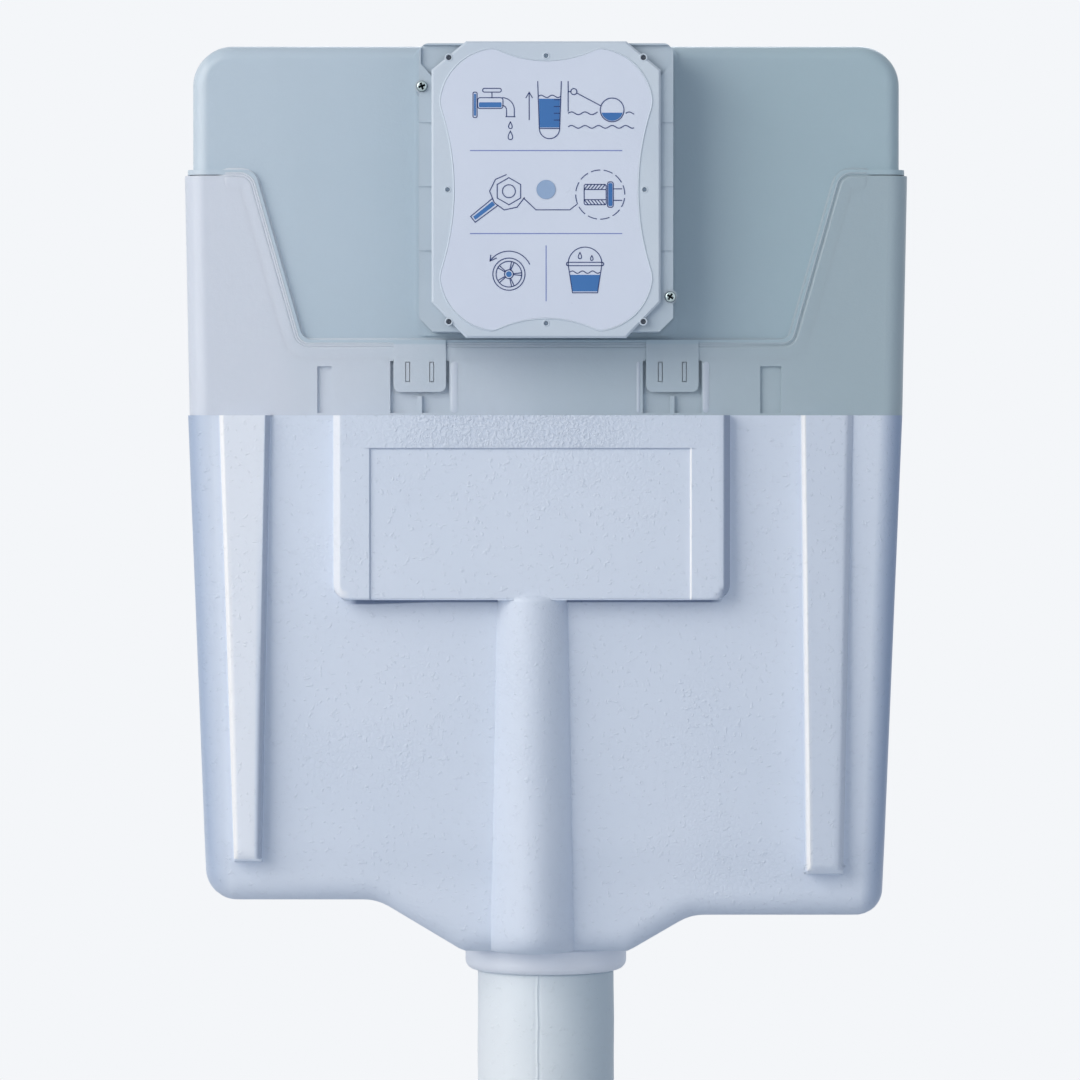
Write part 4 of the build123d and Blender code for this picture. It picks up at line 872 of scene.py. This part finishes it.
def edge_tone(x, z, depth):
    """Painted light on the skin: a painted highlight (above 0) on the left bevels, the left rib's face and
    the tray's right edge, and a painted shade (below 0) on the right bevels, along the tray's left and top
    edges and in the groove under the panel."""
    ground = leaning_depth(jacket_far, z)
    tones = np.zeros_like(x)
    # per rib: pale is a painted highlight on the left bevel, face the painted light on its face, the last a
    # painted shade on the right bevel
    for rib, (_, right_bevel), _, (pale, face, bevel_painted_shade) in side_ribs:
        left, right, foot = rib_inside(x, z, rib)
        on = (depth > ground + 0.2) & (left > -0.1) & (right > -0.1) & (foot > 2.0)
        bevel_painted_light = face + (pale - face) * smooth(left / 0.6) * smooth((3.6 - left) / 1.4)
        tones = np.where(on, bevel_painted_light + bevel_painted_shade * smooth((right_bevel + 0.6 - right) / 1.2), tones)
    inside, turn = panel_inside(x, z)
    # painted highlight on the panel's left bevel and painted shade on its right one
    side = smooth((inside + 0.1) / 0.5) * smooth((5.2 - inside) / 1.6) * smooth((1.0 - turn) / 0.6)
    tones = tones + side * np.where(x < 0.0, *panel_painted_light)
    # painted shade along the tray's left and top edges, painted highlight along its right edge
    on_panel = (z > panel_box[2] + 1.0) & (x > tray_box[0] - 1.0) & (x < tray_box[1] + 1.0)
    left_line = (np.abs(x - tray_box[0] - 0.4) < 0.5) & (z < tray_box[2])
    right_line = (np.abs(tray_box[1] - x - 0.4) < 0.6) & (z < tray_box[2])
    level_line = np.abs(tray_box[2] - z - 0.4) < 0.5
    tones = tones + on_panel * (tray_painted_shade * (left_line | level_line) + tray_right_painted_highlight * right_line)
    # painted shade in the groove under the panel
    low = panel_box[2] - 1.5 - 1.2 * smooth((-60.0 - x) / 50.0)
    clear = centre_rib_depth(x, z) < ground + 1.0
    under = clear * along_foot(x, groove_painted_shade_clear) * smooth((z - low) / 0.7) * (z < panel_box[2] + 0.5)
    return np.clip(np.where(under > 0.0, groove_painted_shade * under, tones), -1.0, 1.0)


def centre_rib_rise(ring):
    """How far the centre rib stands above the leaning ground along a ring's foot, and nothing elsewhere."""
    x, z = ring[:, 0], ring[:, 1]
    rise = centre_rib_depth(x, z) - leaning_depth(jacket_far, z)
    return np.where(z < row_split, np.maximum(rise, 0.0), 0.0)


def jacket_shell(edge, inset, far, forwards, relief):
    """One skin of a jacket half: walls from the parting forwards, an edge that is a quarter circle, and the
    face, as two grids."""
    way = 1.0 if forwards else -1.0

    def face(z):
        """The depth of the plain face at each height."""
        return leaning_depth(far, z) if forwards else np.full_like(z, far)

    def edge_row(ring, short):
        """A ring at some distance short of the face."""
        return face(ring[:, 1]) - way * short + (centre_rib_rise(ring) if relief else 0.0)

    start_ring = jacket_ring(inset)
    reach = edge_row(start_ring, edge)
    shares = np.linspace(0.0, 1.0, 8)[:-1]
    rows = [with_depth(start_ring, between(jacket_part, reach, share)) for share in shares]
    for angle in np.linspace(0.0, math.pi / 2, 9):
        ring = jacket_ring(inset + edge * (1 - math.cos(angle)))
        rows.append(with_depth(ring, edge_row(ring, edge * (1 - math.sin(angle)))))
    patch = jacket_patch(jacket_ring(inset + edge), relief)
    x, z = patch[..., 0], patch[..., 1]
    return np.stack(rows), with_depth(patch, relief_depth(x, z) if relief else face(z))


def top_line(strip, patch):
    """The top edge of a skin, from the parting on the left across the face to the parting on the right."""
    return np.concatenate([strip[:, 0], patch[0, 1:-1], strip[::-1, -1]])


def foam_half(name, forwards):
    """The front or the rear half of the jacket: an outer and an inner skin, closed at the parting and along
    the top. The front carries its painted light tone, painted highlight and painted shade, on its points."""
    outer_edge, inner_edge = front_edges if forwards else rear_edges
    outer_far = jacket_far if forwards else jacket_near
    inner_far = jacket_far - front_wall if forwards else jacket_near + side_wall
    outer = jacket_shell(outer_edge, 0.0, outer_far, forwards, forwards)
    inner = jacket_shell(inner_edge, side_wall, inner_far, forwards, False)
    parting = np.stack([outer[0][0], inner[0][0]])
    top = np.stack([top_line(*outer), top_line(*inner)])
    mesh = mesh_of(name, [*outer, *inner, parting, top])
    if forwards:
        points = np.zeros(3 * len(mesh.vertices))
        mesh.vertices.foreach_get("co", points)
        x, depth, z = (points.reshape(-1, 3) * (1.0, -1.0, 1.0) / mm).T
        tones = mesh.attributes.new("edge_tone", "FLOAT", "POINT")
        tones.data.foreach_set("value", edge_tone(x, z, depth) * (depth > jacket_far - front_wall))
    return place_piece(name, mesh, "white_foam", "tank", "jacket_front" if forwards else "jacket_rear")


foam_half("foam_jacket_front", True)
foam_half("foam_jacket_rear", False)


# Collar and sleeve

def sleeve_collar():
    """The round collar under the jacket: a ring whose rim is a quarter circle above, a larger one below and
    a straight wall between them, carried round the pipe's axis."""
    rim = (pipe_bore, jacket_foot)
    profile = [rim]
    ends = ((jacket_foot, -1, (0, 90, 7)), (collar_foot, 1, (90, 0, 13)))
    for radius, (end, way, angles) in zip(collar_rounds, ends):
        for turn in np.radians(np.linspace(*angles)):
            short, up = radius * (1 - math.sin(turn)), radius * (1 - math.cos(turn))
            profile.append((collar_radius - short, end + way * up))
    profile += [(pipe_bore, collar_foot), rim]
    grids = [turned(profile, 0.0, pipe_depth, 144)]
    piece_of("foam_collar", grids, "white_foam", "tank", "sleeve_collar", sharp=50.0, finish=smooth_foam)


def pipe_sleeve():
    """The sleeve in two halves. Its radius rises in a thin lip along each parting line, a bell curve less a
    lower one on either side, and swells by sines of the height and the turn, as cut foam does. Other sines
    of the height let the line wander. Its ends are rounded by a quarter circle."""
    edge = np.linspace(0.0, sleeve_edge, 7)
    down = np.concatenate([edge, np.arange(3.0, 99.5, 1.5), sleeve_length - edge[::-1]])
    fine = np.radians(np.arange(-5.0, 5.01, 0.3))
    coarse = np.radians(np.arange(8.0, 173.0, 3.0))
    turn = np.concatenate([fine, coarse, fine + math.pi, coarse + math.pi, [2 * math.pi - math.radians(5.0)]])
    turn, z = np.meshgrid(turn + sleeve_seam_turn, collar_foot - down)
    wander = 0.16 * np.sin(z / 5.3) + 0.08 * np.sin(z / 2.1 + 1.0) + 0.06 * np.sin(z / 0.9)
    away = (np.mod(turn - sleeve_seam_turn + math.pi / 2, math.pi) - math.pi / 2) * sleeve_radius + wander
    rise, half = sleeve_lip
    depth, reach, apart = sleeve_groove
    lip = rise * np.exp(-((away / half) ** 2)) - depth * np.exp(-(((np.abs(away) - apart) / reach) ** 2))
    swell = 0.12 * np.sin(z / 17.0 + 2.0 * turn) + 0.08 * np.sin(z / 7.0 - 3.0 * turn)
    short = sleeve_edge - np.minimum(np.minimum(down, sleeve_length - down), sleeve_edge)[:, None]
    rounding = np.sqrt(np.clip(sleeve_edge**2 - short**2, 0.0, None)) - sleeve_edge
    skins = []
    for radius in (sleeve_radius + lip + swell + rounding, pipe_bore):
        skins.append(np.stack([radius * np.sin(turn), pipe_depth + radius * np.cos(turn), z], -1))
    ends = [np.stack([skin[row] for skin in skins]) for row in (0, -1)]
    piece_of("foam_sleeve", skins + ends, "white_foam", "tank", "pipe_sleeve", sharp=50.0, finish=sleeve_foam)


sleeve_collar()
pipe_sleeve()


# Beads on the tank

def bead_profile(width, low, high, steps=10):
    """Half an ellipse that stands on a flat foot."""
    angles = np.linspace(0.0, math.pi, steps + 1)
    arch = [(width / 2 * math.cos(turn), low + (high - low) * math.sin(turn)) for turn in angles]
    return [*arch, arch[0]]


def seam_path(step=1.5):
    """Points along the seam between the shells, and at each the way that points from the lower shell to the
    lid."""
    path = rounded_path(np.array(seam_corners), [seam_radius] * 4, 10)
    length = np.linalg.norm(np.diff(path, axis=0), axis=1).sum()
    path = resample(path, np.linspace(0.0, 1.0, int(length / step)))
    return path, left_of(unit(np.gradient(path, axis=0)))


def seam_strip(name, across, depth, finish):
    """A strip along the seam: at each of its points a closed profile of distances above the seam and
    depths. At both ends it sinks into the shells."""
    path, ways = seam_path()
    ends = smooth((seam_reach - np.abs(path[:, :1])) / seam_fade)
    depth = np.asarray(depth) - seam_sink * (1.0 - ends)
    across = np.broadcast_to(across, depth.shape)
    grid = with_depth(path[:, None] + ways[:, None] * across[..., None], depth)
    grids = [grid, capped(grid[0]), capped(grid[-1])]
    piece_of(name, grids, "milky_tank", "tank", sharp=60.0, finish=finish)


def seam_beads():
    """The lid's bead stands at the seam and falls to the lid's wall in a few millimetres. The band's bead
    is low and wide. Each rises by a quarter of a sine and falls by a smooth step. Between them runs the
    weld, half an ellipse, level with both on the left and in a fine groove on the right."""
    turn = np.sin(np.linspace(0.0, math.pi / 2, 5))
    share = np.linspace(0.0, 1.0, 10)[1:]
    wall = lid_face - 1.0
    width, drop = bead_round
    # the lid's bead takes a paler finish: painted light over the shade of its falling wall
    beads = (("lid_seam_bead", lid_bead, milky_edge), ("band_seam_bead", band_bead, milky_lower))
    for name, (start, way, reach, fall), finish in beads:
        across = start + way * np.array([*(width * turn), *(width + reach * share), width + reach, 0.0, 0.0])
        rounded = seam_crest - drop * (1.0 - turn)
        depth = [*rounded, *(seam_crest - fall * smooth(share)), wall, wall, seam_crest - drop]
        seam_strip(name, across, depth, finish)
    weld = np.array(bead_profile(weld_width, -weld_root, 0.0))
    sink = between(*weld_sink, smooth((seam_path()[0][:, :1] - 100.0) / 40.0))
    seam_strip("seam_weld", weld[:, 0] + weld_middle, seam_crest - sink + weld[:, 1], milky_lower)


def recess_beads():
    """Low soft beads moulded down the sides of the latch recesses, in a paler finish that is a painted
    highlight: half an ellipse carried down the band, that sinks into it at both ends."""
    angle = np.linspace(0.0, math.pi, 13)[None, :]
    top, foot = recess_bead_ends
    z = np.linspace(top, foot, 33)[:, None]
    ends = smooth((top - z) / recess_bead_fade) * smooth((z - foot) / recess_bead_fade)
    grids = []
    for x, width in recess_bead_places:
        across = x + width / 2 * np.cos(angle) + 0.0 * z
        height = between(recess_bead_root - 0.1, recess_bead_root + recess_bead_rise, ends)
        depth = tank_face - recess_bead_root + height * np.sin(angle)
        arch = np.stack([across, depth, z + 0.0 * angle], -1)
        ring = np.concatenate([arch, arch[:, :1]], 1)
        grids += [ring, capped(ring[0]), capped(ring[-1])]
    piece_of("recess_beads", grids, "milky_tank", "tank", sharp=60.0, finish=milky_rim)


seam_beads()
recess_beads()


# Cover: label film, its raised border, pegs and rings

def label_outline(count=540):
    """The label's edge, found along rays from its middle: a rounded rectangle less a large circle at each
    side and at the top and foot, where a smooth minimum of their distances rounds the corners."""
    turn = np.linspace(0.0, 2 * math.pi, count, endpoint=False)
    ray = np.stack([np.cos(turn), np.sin(turn)])
    near, far = np.zeros(count), np.full(count, 110.0)
    for _ in range(40):
        middle = (near + far) / 2
        x, z = np.abs(ray * middle)
        past = np.maximum(np.stack([x - label_half[0], z - label_half[1]]) + label_corner, 0.0)
        inside = label_corner - np.hypot(*past)
        circles = ((x, z, label_half[0], label_waist), (z, x, label_half[1], label_dip))
        for along, across, half, (fall, chord) in circles:
            radius = (chord**2 / 4 + fall**2) / (2 * fall)
            outside = np.hypot(along - (half - fall + radius), across) - radius
            blend = np.maximum(label_blend - np.abs(inside - outside), 0.0) / label_blend
            inside = np.minimum(inside, outside) - blend**2 * label_blend / 4
        near, far = np.where(inside > 0, middle, near), np.where(inside > 0, far, middle)
    return (ray * near).T + (0.0, cover_z)


def label_film(outline):
    """The film: rings from the plug's hole out to the edge, waved by the product of two slow sines that
    fades towards the edge, over its own thin edge."""
    centre = np.array([0.0, cover_z])
    ways = outline - centre
    ways = np.concatenate([ways, ways[:1]])
    hole = unit(ways) * plug_hole
    shares = np.linspace(0.0, 1.0, 25)[:, None, None]
    flat = centre + hole + (ways - hole) * shares
    wave = label_wave * np.sin(flat[..., 0] / 17.0) * np.sin(flat[..., 1] / 23.0)
    wave = wave * smooth((1.0 - shares[..., 0]) * 8)
    face = with_depth(flat, label_face - label_wave + wave)
    back = with_depth(flat, cover_face - film_root)
    edges = [np.stack([face[row], back[row]]) for row in (0, -1)]
    piece_of("printed_film", [face, back, *edges], "label_film", "cover", "cover_label")


def label_border(outline):
    """A fine raised line round the label."""
    profile = bead_profile(border_width, cover_face - 0.2, label_face + border_rise, 8)
    path = outline + 0.5 * unit(outline - (0.0, cover_z))
    piece_of("label_border", carried(path, profile, True), "cover_plastic", "cover", sharp=60.0)


def cover_pegs():
    """Eight round pegs with a small hollow in each head, the four at the corners larger and darker, and a
    low round ring moulded round each."""
    rings = []
    for number, (name, (places, radius, rise, text)) in enumerate(peg_groups.items()):
        top = cover_face + rise
        head = [(0.0, top - 0.25), (0.35 * radius, top - 0.22), (0.6 * radius, top)]
        head += [(0.85 * radius, top - 0.05), (radius, top - 0.25), (radius, peg_back), (0.0, peg_back)]
        grids = [pressed(head, x, cover_z + z) for x, z in places]
        nodes = ["cover_pegs"] if number == 0 else []
        piece_of(name, grids, "peg_grey", "cover", *nodes, sharp=50.0, finish=moulded(name, text, 0.35))
        middle = radius + peg_gap + peg_ring
        ring = [(middle - across, depth) for across, depth in bead_profile(2 * peg_ring, 0.0, peg_ring, 8)]
        ring = [(across, cover_face - 0.1 + depth) for across, depth in ring]
        rings += [pressed(ring, x, cover_z + z, 40) for x, z in places]
    piece_of("peg_rings", rings, "cover_plastic", "cover", sharp=60.0)


outline = label_outline()
label_film(outline)
label_border(outline)
cover_pegs()


# Screws of the shaft

def screw(x, z, turn):
    """A pan head on a polar grid: slightly domed, with a quarter circle at its rim, less a cross of two
    slots whose walls are smooth steps; then its shank."""
    radius = np.linspace(0.0, head_radius, 45)[:, None]
    angle = np.linspace(0.0, 2 * math.pi, 145)[None, :]
    past = np.maximum(radius - (head_radius - head_edge), 0.0)
    dome = head_rise - head_edge + np.sqrt(np.maximum(head_edge**2 - past**2, 0.0)) - crown_fall * radius**2
    one = np.abs(radius * np.cos(angle - turn))
    two = np.abs(radius * np.sin(angle - turn))
    slots = np.maximum(np.minimum(cross_half - one, cross_reach - two),
                       np.minimum(cross_half - two, cross_reach - one))
    depth = shaft_front + dome - cross_depth * smooth((slots + 0.15) / 0.45)
    face = np.stack([x + radius * np.cos(angle), depth, z + radius * np.sin(angle)], -1)
    shank = [(head_radius, float(depth[-1].min())), (head_radius, shaft_front), (shank_radius, shaft_front),
             (shank_radius, shank_back), (0.0, shank_back)]
    return [face, pressed(shank, x, z, 144)]


grids = [grid for x, z, turn in shaft_screws for grid in screw(x, z, turn)]
piece_of("cross_screws", grids, "zinc_steel", "tank", "shaft_screws", sharp=40.0, finish=bright_screw())


# Printed drawing on the label: generic plumbing motifs in thin ink

def arc(x, z, radius, start=0.0, end=360.0, steps=48):
    """Part of a circle, or the whole of it, from one angle to another."""
    turn = np.radians(np.linspace(start, end, steps + 1))
    return np.stack([x + radius * np.cos(turn), z + radius * np.sin(turn)], 1)


def box(x, z, width, height, corner):
    """A closed rectangle with round corners, as a path that ends where it starts."""
    parts = []
    for side, up, start in ((1, 1, 0), (-1, 1, 90), (-1, -1, 180), (1, -1, 270)):
        middle = (x + side * (width / 2 - corner), z + up * (height / 2 - corner))
        parts.append(arc(*middle, corner, start, start + 90, 6))
    return np.concatenate([*parts, parts[0][:1]])


def waves(left, right, z, height=0.8, length=8.0):
    """A level line of even waves."""
    x = np.linspace(left, right, max(int((right - left) * 2), 8))
    return np.stack([x, z + height * np.sin(2 * math.pi * (x - left) / length)], 1)


def drop(x, z, size):
    """A falling drop: round below, drawn out to a point above."""
    turn = np.linspace(0.0, 2 * math.pi, 29)
    return np.stack([x + size * np.sin(turn) * np.sin(turn / 2) ** 1.5, z + 1.35 * size * np.cos(turn)], 1)


def turned_by(points, angle):
    """Points turned about the middle, to the right for an angle above 0."""
    turn = math.radians(angle)
    return np.array(points) @ [[math.cos(turn), math.sin(turn)], [-math.sin(turn), math.cos(turn)]]


def tap_motif():
    """A tap on its wall plate, with two drops. Each motif is drawn round its middle, as strokes and filled
    areas."""
    strokes = [box(-11, 0, 2.4, 15, 0.8), box(-2, 1, 15, 6.4, 1.5), box(-1, 8.6, 11, 2.2, 1.0)]
    strokes += [[(-1, 4.2), (-1, 7.5)], [*arc(5, -3, 7.2, 90, 0, 12), (12.2, -7)]]
    strokes += [[*arc(5, -3, 2.6, 90, 0, 10), (7.6, -7)], [(7, -7), (12.8, -7)]]
    strokes += [drop(9.9, -12, 1.5), drop(9.9, -18, 1.9)]
    return strokes, [box(-2, 0, 13.4, 3.0, 0.7), box(-11, 0, 1.2, 13, 0.5)]


def glass_motif():
    """A measuring glass, filled to its last mark, and an arrow that points up."""
    strokes = [[(-7, 15), (-6, -13), (6, -13), (7, 15)], arc(0, -13, 6.0, 180, 360, 16)]
    strokes += [waves(-6.6, 6.6, 6, 0.7, 6.6), *[[(2.6, up), (6.3, up)] for up in (-8, -4, 0, 4)]]
    strokes += [[(-12, -8), (-12, 8)], [(-14, 5), (-12, 8.4), (-10, 5)]]
    return strokes, [[(-5.7, -12.4), (5.7, -12.4), (6.2, 4.6), (-6.2, 4.6)]]


def float_motif():
    """A ball float on its arm, in water."""
    strokes = [arc(8, -2, 7.0), [(1.4, 0.4), (-13, 8)], arc(-14.6, 8.8, 1.8, steps=20)]
    strokes += [[(-18, 15), (-18, -3)], [(-18, 8.8), (-16.4, 8.8)]]
    strokes += [waves(-18, -0.5, -4), waves(16, 21, -4), waves(-18, 21, -12)]
    return strokes, [arc(8, -2, 6.4, 195, 345, 20)]


def nut_motif():
    """A spanner on a nut."""
    jaw = [(5, 8.6), (-2, 10.4), (-9, 7), (-11, 0), (-9, -7), (-2, -10.4), (5, -8.6)]
    handle = [(-10.6, 2.6), (-27, 2.2), (-27, -2.2), (-10.6, -2.6)]
    grip = [(-11.4, 1.3), (-26, 1.1), (-26, -1.1), (-11.4, -1.3)]
    strokes = [arc(0, 0, 8.0, 30, 390, 6), arc(0, 0, 3.8), turned_by(jaw, 38), turned_by(handle, 38)]
    return strokes, [turned_by(grip, 38)]


def joint_motif():
    """A round detail view: a pipe end with its ring, in a broken circle."""
    strokes = [arc(0, 0, 14.5, start, start + 22, 8) for start in range(0, 360, 30)]
    strokes += [box(-3, 0, 13, 12, 1.0), [(-9.5, 3), (3.5, 3)], [(-9.5, -3), (3.5, -3)]]
    strokes += [box(6, 0, 3.4, 15, 1.2), [(8, 3.4), (13, 3.4)], [(8, -3.4), (13, -3.4)]]
    hatch = [(step, side) for step in range(0, 12, 2) for side in (1, -1)]
    strokes += [[(step - 9.5, side * 3), (step - 7, side * 6)] for step, side in hatch]
    return strokes, [box(6, 0, 2.4, 13.6, 0.8)]


def wheel_motif():
    """A hand wheel with five spokes, and an arrow round it."""
    sweep = arc(0, 0, 13.6, 25, 145, 24)
    strokes = [arc(0, 0, 9.5), arc(0, 0, 7.6), arc(0, 0, 2.6, steps=24), sweep]
    for angle in np.radians([start + lean for start in range(0, 360, 72) for lean in (6, -6)]):
        way = np.array([math.cos(angle), math.sin(angle)])
        strokes.append([2.6 * way, 7.6 * way])
    strokes.append(sweep[-1] + [(0.4, 3.6), (0.0, 0.0), (4.0, 1.8)])
    return strokes, [arc(0, 0, 1.7, steps=20)]


def bucket_motif():
    """A bucket with its handle up, partly filled, and two drops that fall into it."""
    strokes = [[(-10, 6), (-7.4, -11), (7.4, -11), (10, 6)], arc(0, 6, 10.0, 0, 180, 24)]
    strokes += [box(0, 6, 22, 2.0, 0.9), waves(-9, 9, 1.2, 0.7, 6.0), drop(-3, 11, 1.4), drop(4, 9.6, 1.1)]
    return strokes, [[(-8.8, -0.4), (-7.2, -10.2), (7.2, -10.2), (8.8, -0.4)]]


def filled(outline, low, high):
    """A flat area: a fan over its outline, its thin edge and its back."""
    if np.linalg.norm(outline[0] - outline[-1]) > 1e-6:
        outline = np.concatenate([outline, outline[:1]])
    top, foot = with_depth(outline, high), with_depth(outline, low)
    return [capped(top), np.stack([top, foot]), capped(foot)]


def printed_drawing():
    """Seven motifs in rows of three, two and two, with thin rules between them and a pipe from the nut to
    the joint. The ink stands a hair's breadth off the film, and each kind stands a little higher than the
    last."""
    motifs = ((tap_motif, -31, 50), (glass_motif, 2, 49), (float_motif, 31, 49), (nut_motif, -22, -1),
              (joint_motif, 32, -3), (wheel_motif, -22, -50), (bucket_motif, 23, -50))
    lines, areas = [], []
    for motif, x, z in motifs:
        for paths, drawn in zip(motif(), (lines, areas)):
            drawn += [np.asarray(path, float) + (x, z) for path in paths]
    lines.append([(-13.4, -5.0), (-6.0, -12.0), (14.0, -12.0), (18.4, -8.6)])
    rules = [[(-45, 23), (45, 23)], [(-45, -26), (45, -26)], [(0, -33), (0, -66)]]
    low = label_face - ink_root
    for (name, (width, rise, text)), strokes in zip(ink.items(), (rules, lines)):
        half, high = width / 2, label_face + rise
        profile = [(-half, low), (-half, high), (half, high), (half, low), (-half, low)]
        grids = []
        for stroke in strokes:
            path = np.asarray(stroke, float) + (0.0, cover_z)
            closed = len(path) > 3 and np.linalg.norm(path[0] - path[-1]) < 1e-6
            grids += carried(path[:-1] if closed else path, profile, closed)
        piece_of(name, grids, "label_film", "cover", finish=moulded(name, text, 0.35))
    rise, text, second = ink_area
    grids = [grid for area in areas for grid in filled(area + (0.0, cover_z), low, label_face + rise)]
    finish = moulded("drawing_areas", text, 0.35, second)
    piece_of("drawing_areas", grids, "label_film", "cover", finish=finish)


printed_drawing()


# Hoses inside the tank, and the bellows that lifts the valve

def hose(name, points, radius, length, slot, node):
    """A hose on one smooth line whose control points are its route's, as (x, depth, z)."""
    curve = bpy.data.curves.new(name, "CURVE")
    curve.dimensions = "3D"
    spline = curve.splines.new("NURBS")
    spline.points.add(len(points) - 1)
    for point, (x, depth, z) in zip(spline.points, points):
        point.co = (x * mm, -depth * mm, z * mm, 1.0)
    spline.order_u = 3
    spline.use_endpoint_u = True
    spline.resolution_u = 16
    curve.bevel_depth = radius * mm
    curve.bevel_resolution = 6
    curve.use_fill_caps = True
    piece = place_piece(name, curve, slot, "tank", node)
    x, depth, z = points[0]


def lift_bellows():
    """Rubber bellows: its radius swings with a cosine, to the power of 0.6, which gives rounded outer folds
    and tighter inner ones. It stretches between the bridge below it and the yoke that it lifts."""
    low, high = bellows_ends
    share = np.linspace(0.0, 1.0, bellows_folds * 16 + 1)
    swing = 0.5 - 0.5 * np.cos(2 * math.pi * bellows_folds * share)
    radius = bellows_radii[0] + (bellows_radii[1] - bellows_radii[0]) * swing**0.6
    folds = np.stack([radius, low + (high - low) * share], 1)
    profile = np.concatenate([[(0.0, low)], folds, [(0.0, high)]])
    grids = [turned(profile, 0.0, pipe_depth, 64)]
    piece = piece_of("rubber_bellows", grids, "black_rubber", None, "lift_bellows", sharp=60.0)
    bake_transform(piece)


for side, name in ((-1, "left"), (1, "right")):
    route = [(side * x, depth, z) for x, depth, z in air_line_route]
    hose(f"air_line_{name}", route, *air_line_size, "air_line", f"air_hose_{name}")
hose("water_hose", water_hose_route, *water_hose_size, "braided_hose", "supply_hose")
lift_bellows()


# Floor, lights, world and camera

def floor_paint():
    """Pale matt paint that keeps shadows near the object. Where the camera looks it fades to the backdrop's
    tone."""
    finish = Finish("floor_paint", 0.9)
    pale = finish.ramp(finish.noise(3.0), (0.3, "eceef1"), (0.7, "f0f1f4"))
    bounced = finish.add("ShaderNodeLightPath").outputs["Is Diffuse Ray"]
    finish.colour(finish.mix(bounced, pale, "ccd2da"))
    away = finish.add("ShaderNodeVectorMath", {0: finish.place}, operation="LENGTH").outputs["Value"]
    share = finish.times(finish.seen(), finish.span(away, 0.6, 0.95))
    glow = finish.add("ShaderNodeEmission", {"Color": backdrop, "Strength": 1.0})
    both = finish.add("ShaderNodeMixShader", {0: share, 1: finish.shader.outputs[0], 2: glow.outputs[0]})
    finish.put(finish.tree.nodes["Material Output"].inputs[0], both.outputs[0])
    return finish.material


def add_floor(size=30.0):
    """A floor under the object, in one sheet."""
    mesh = bpy.data.meshes.new("floor")
    low = cad_low.z - 0.0005
    corners = [(-size, -size, low), (size, -size, low), (size, size, low), (-size, size, low)]
    mesh.from_pydata(corners, [], [(0, 1, 2, 3)])
    mesh.materials.append(floor_paint())
    floor = bpy.data.objects.new("floor", mesh)
    bpy.context.scene.collection.objects.link(floor)


def add_world():
    """Soft light from all sides, and the backdrop where the camera looks."""
    world = bpy.data.worlds.new("studio")
    world.use_nodes = True
    world.node_tree.nodes.clear()
    nodes = Nodes(world.node_tree)
    lit = nodes.add("ShaderNodeBackground", {"Color": "dfe8f7", "Strength": 0.4}).outputs[0]
    plain = nodes.add("ShaderNodeBackground", {"Color": backdrop, "Strength": 1.0}).outputs[0]
    both = nodes.add("ShaderNodeMixShader", {0: nodes.seen(), 1: lit, 2: plain}).outputs[0]
    nodes.add("ShaderNodeOutputWorld", {0: both})
    bpy.context.scene.world = world


def aim(name, data, place, target):
    """Puts a lamp or a camera at a place, and turns it towards a target."""
    thing = bpy.data.objects.new(name, data)
    thing.location = place
    thing.rotation_mode = "QUATERNION"
    thing.rotation_quaternion = (Vector(target) - Vector(place)).to_track_quat("-Z", "Y")
    bpy.context.scene.collection.objects.link(thing)
    return thing


def add_light(name, place, target, size, power, tint):
    """A rectangular lamp."""
    light = bpy.data.lights.new(name, "AREA")
    light.shape = "RECTANGLE"
    light.size, light.size_y = size
    light.energy = power
    light.color = tone(tint)[:3]
    aim(name, light, place, target)


def add_camera():
    """The scene's camera."""
    data = bpy.data.cameras.new("camera")
    data.lens = lens_length
    data.sensor_width = 36.0
    data.clip_end = 100.0
    place = (camera_x, -view_plane - camera_distance, camera_z)
    bpy.context.scene.camera = aim("camera", data, place, (camera_x, -view_plane, view_centre_z))


add_floor()
add_world()
for name, values in lamps.items():
    add_light(name, *values)
add_camera()

view = bpy.context.scene.view_settings
view.view_transform = "Standard"
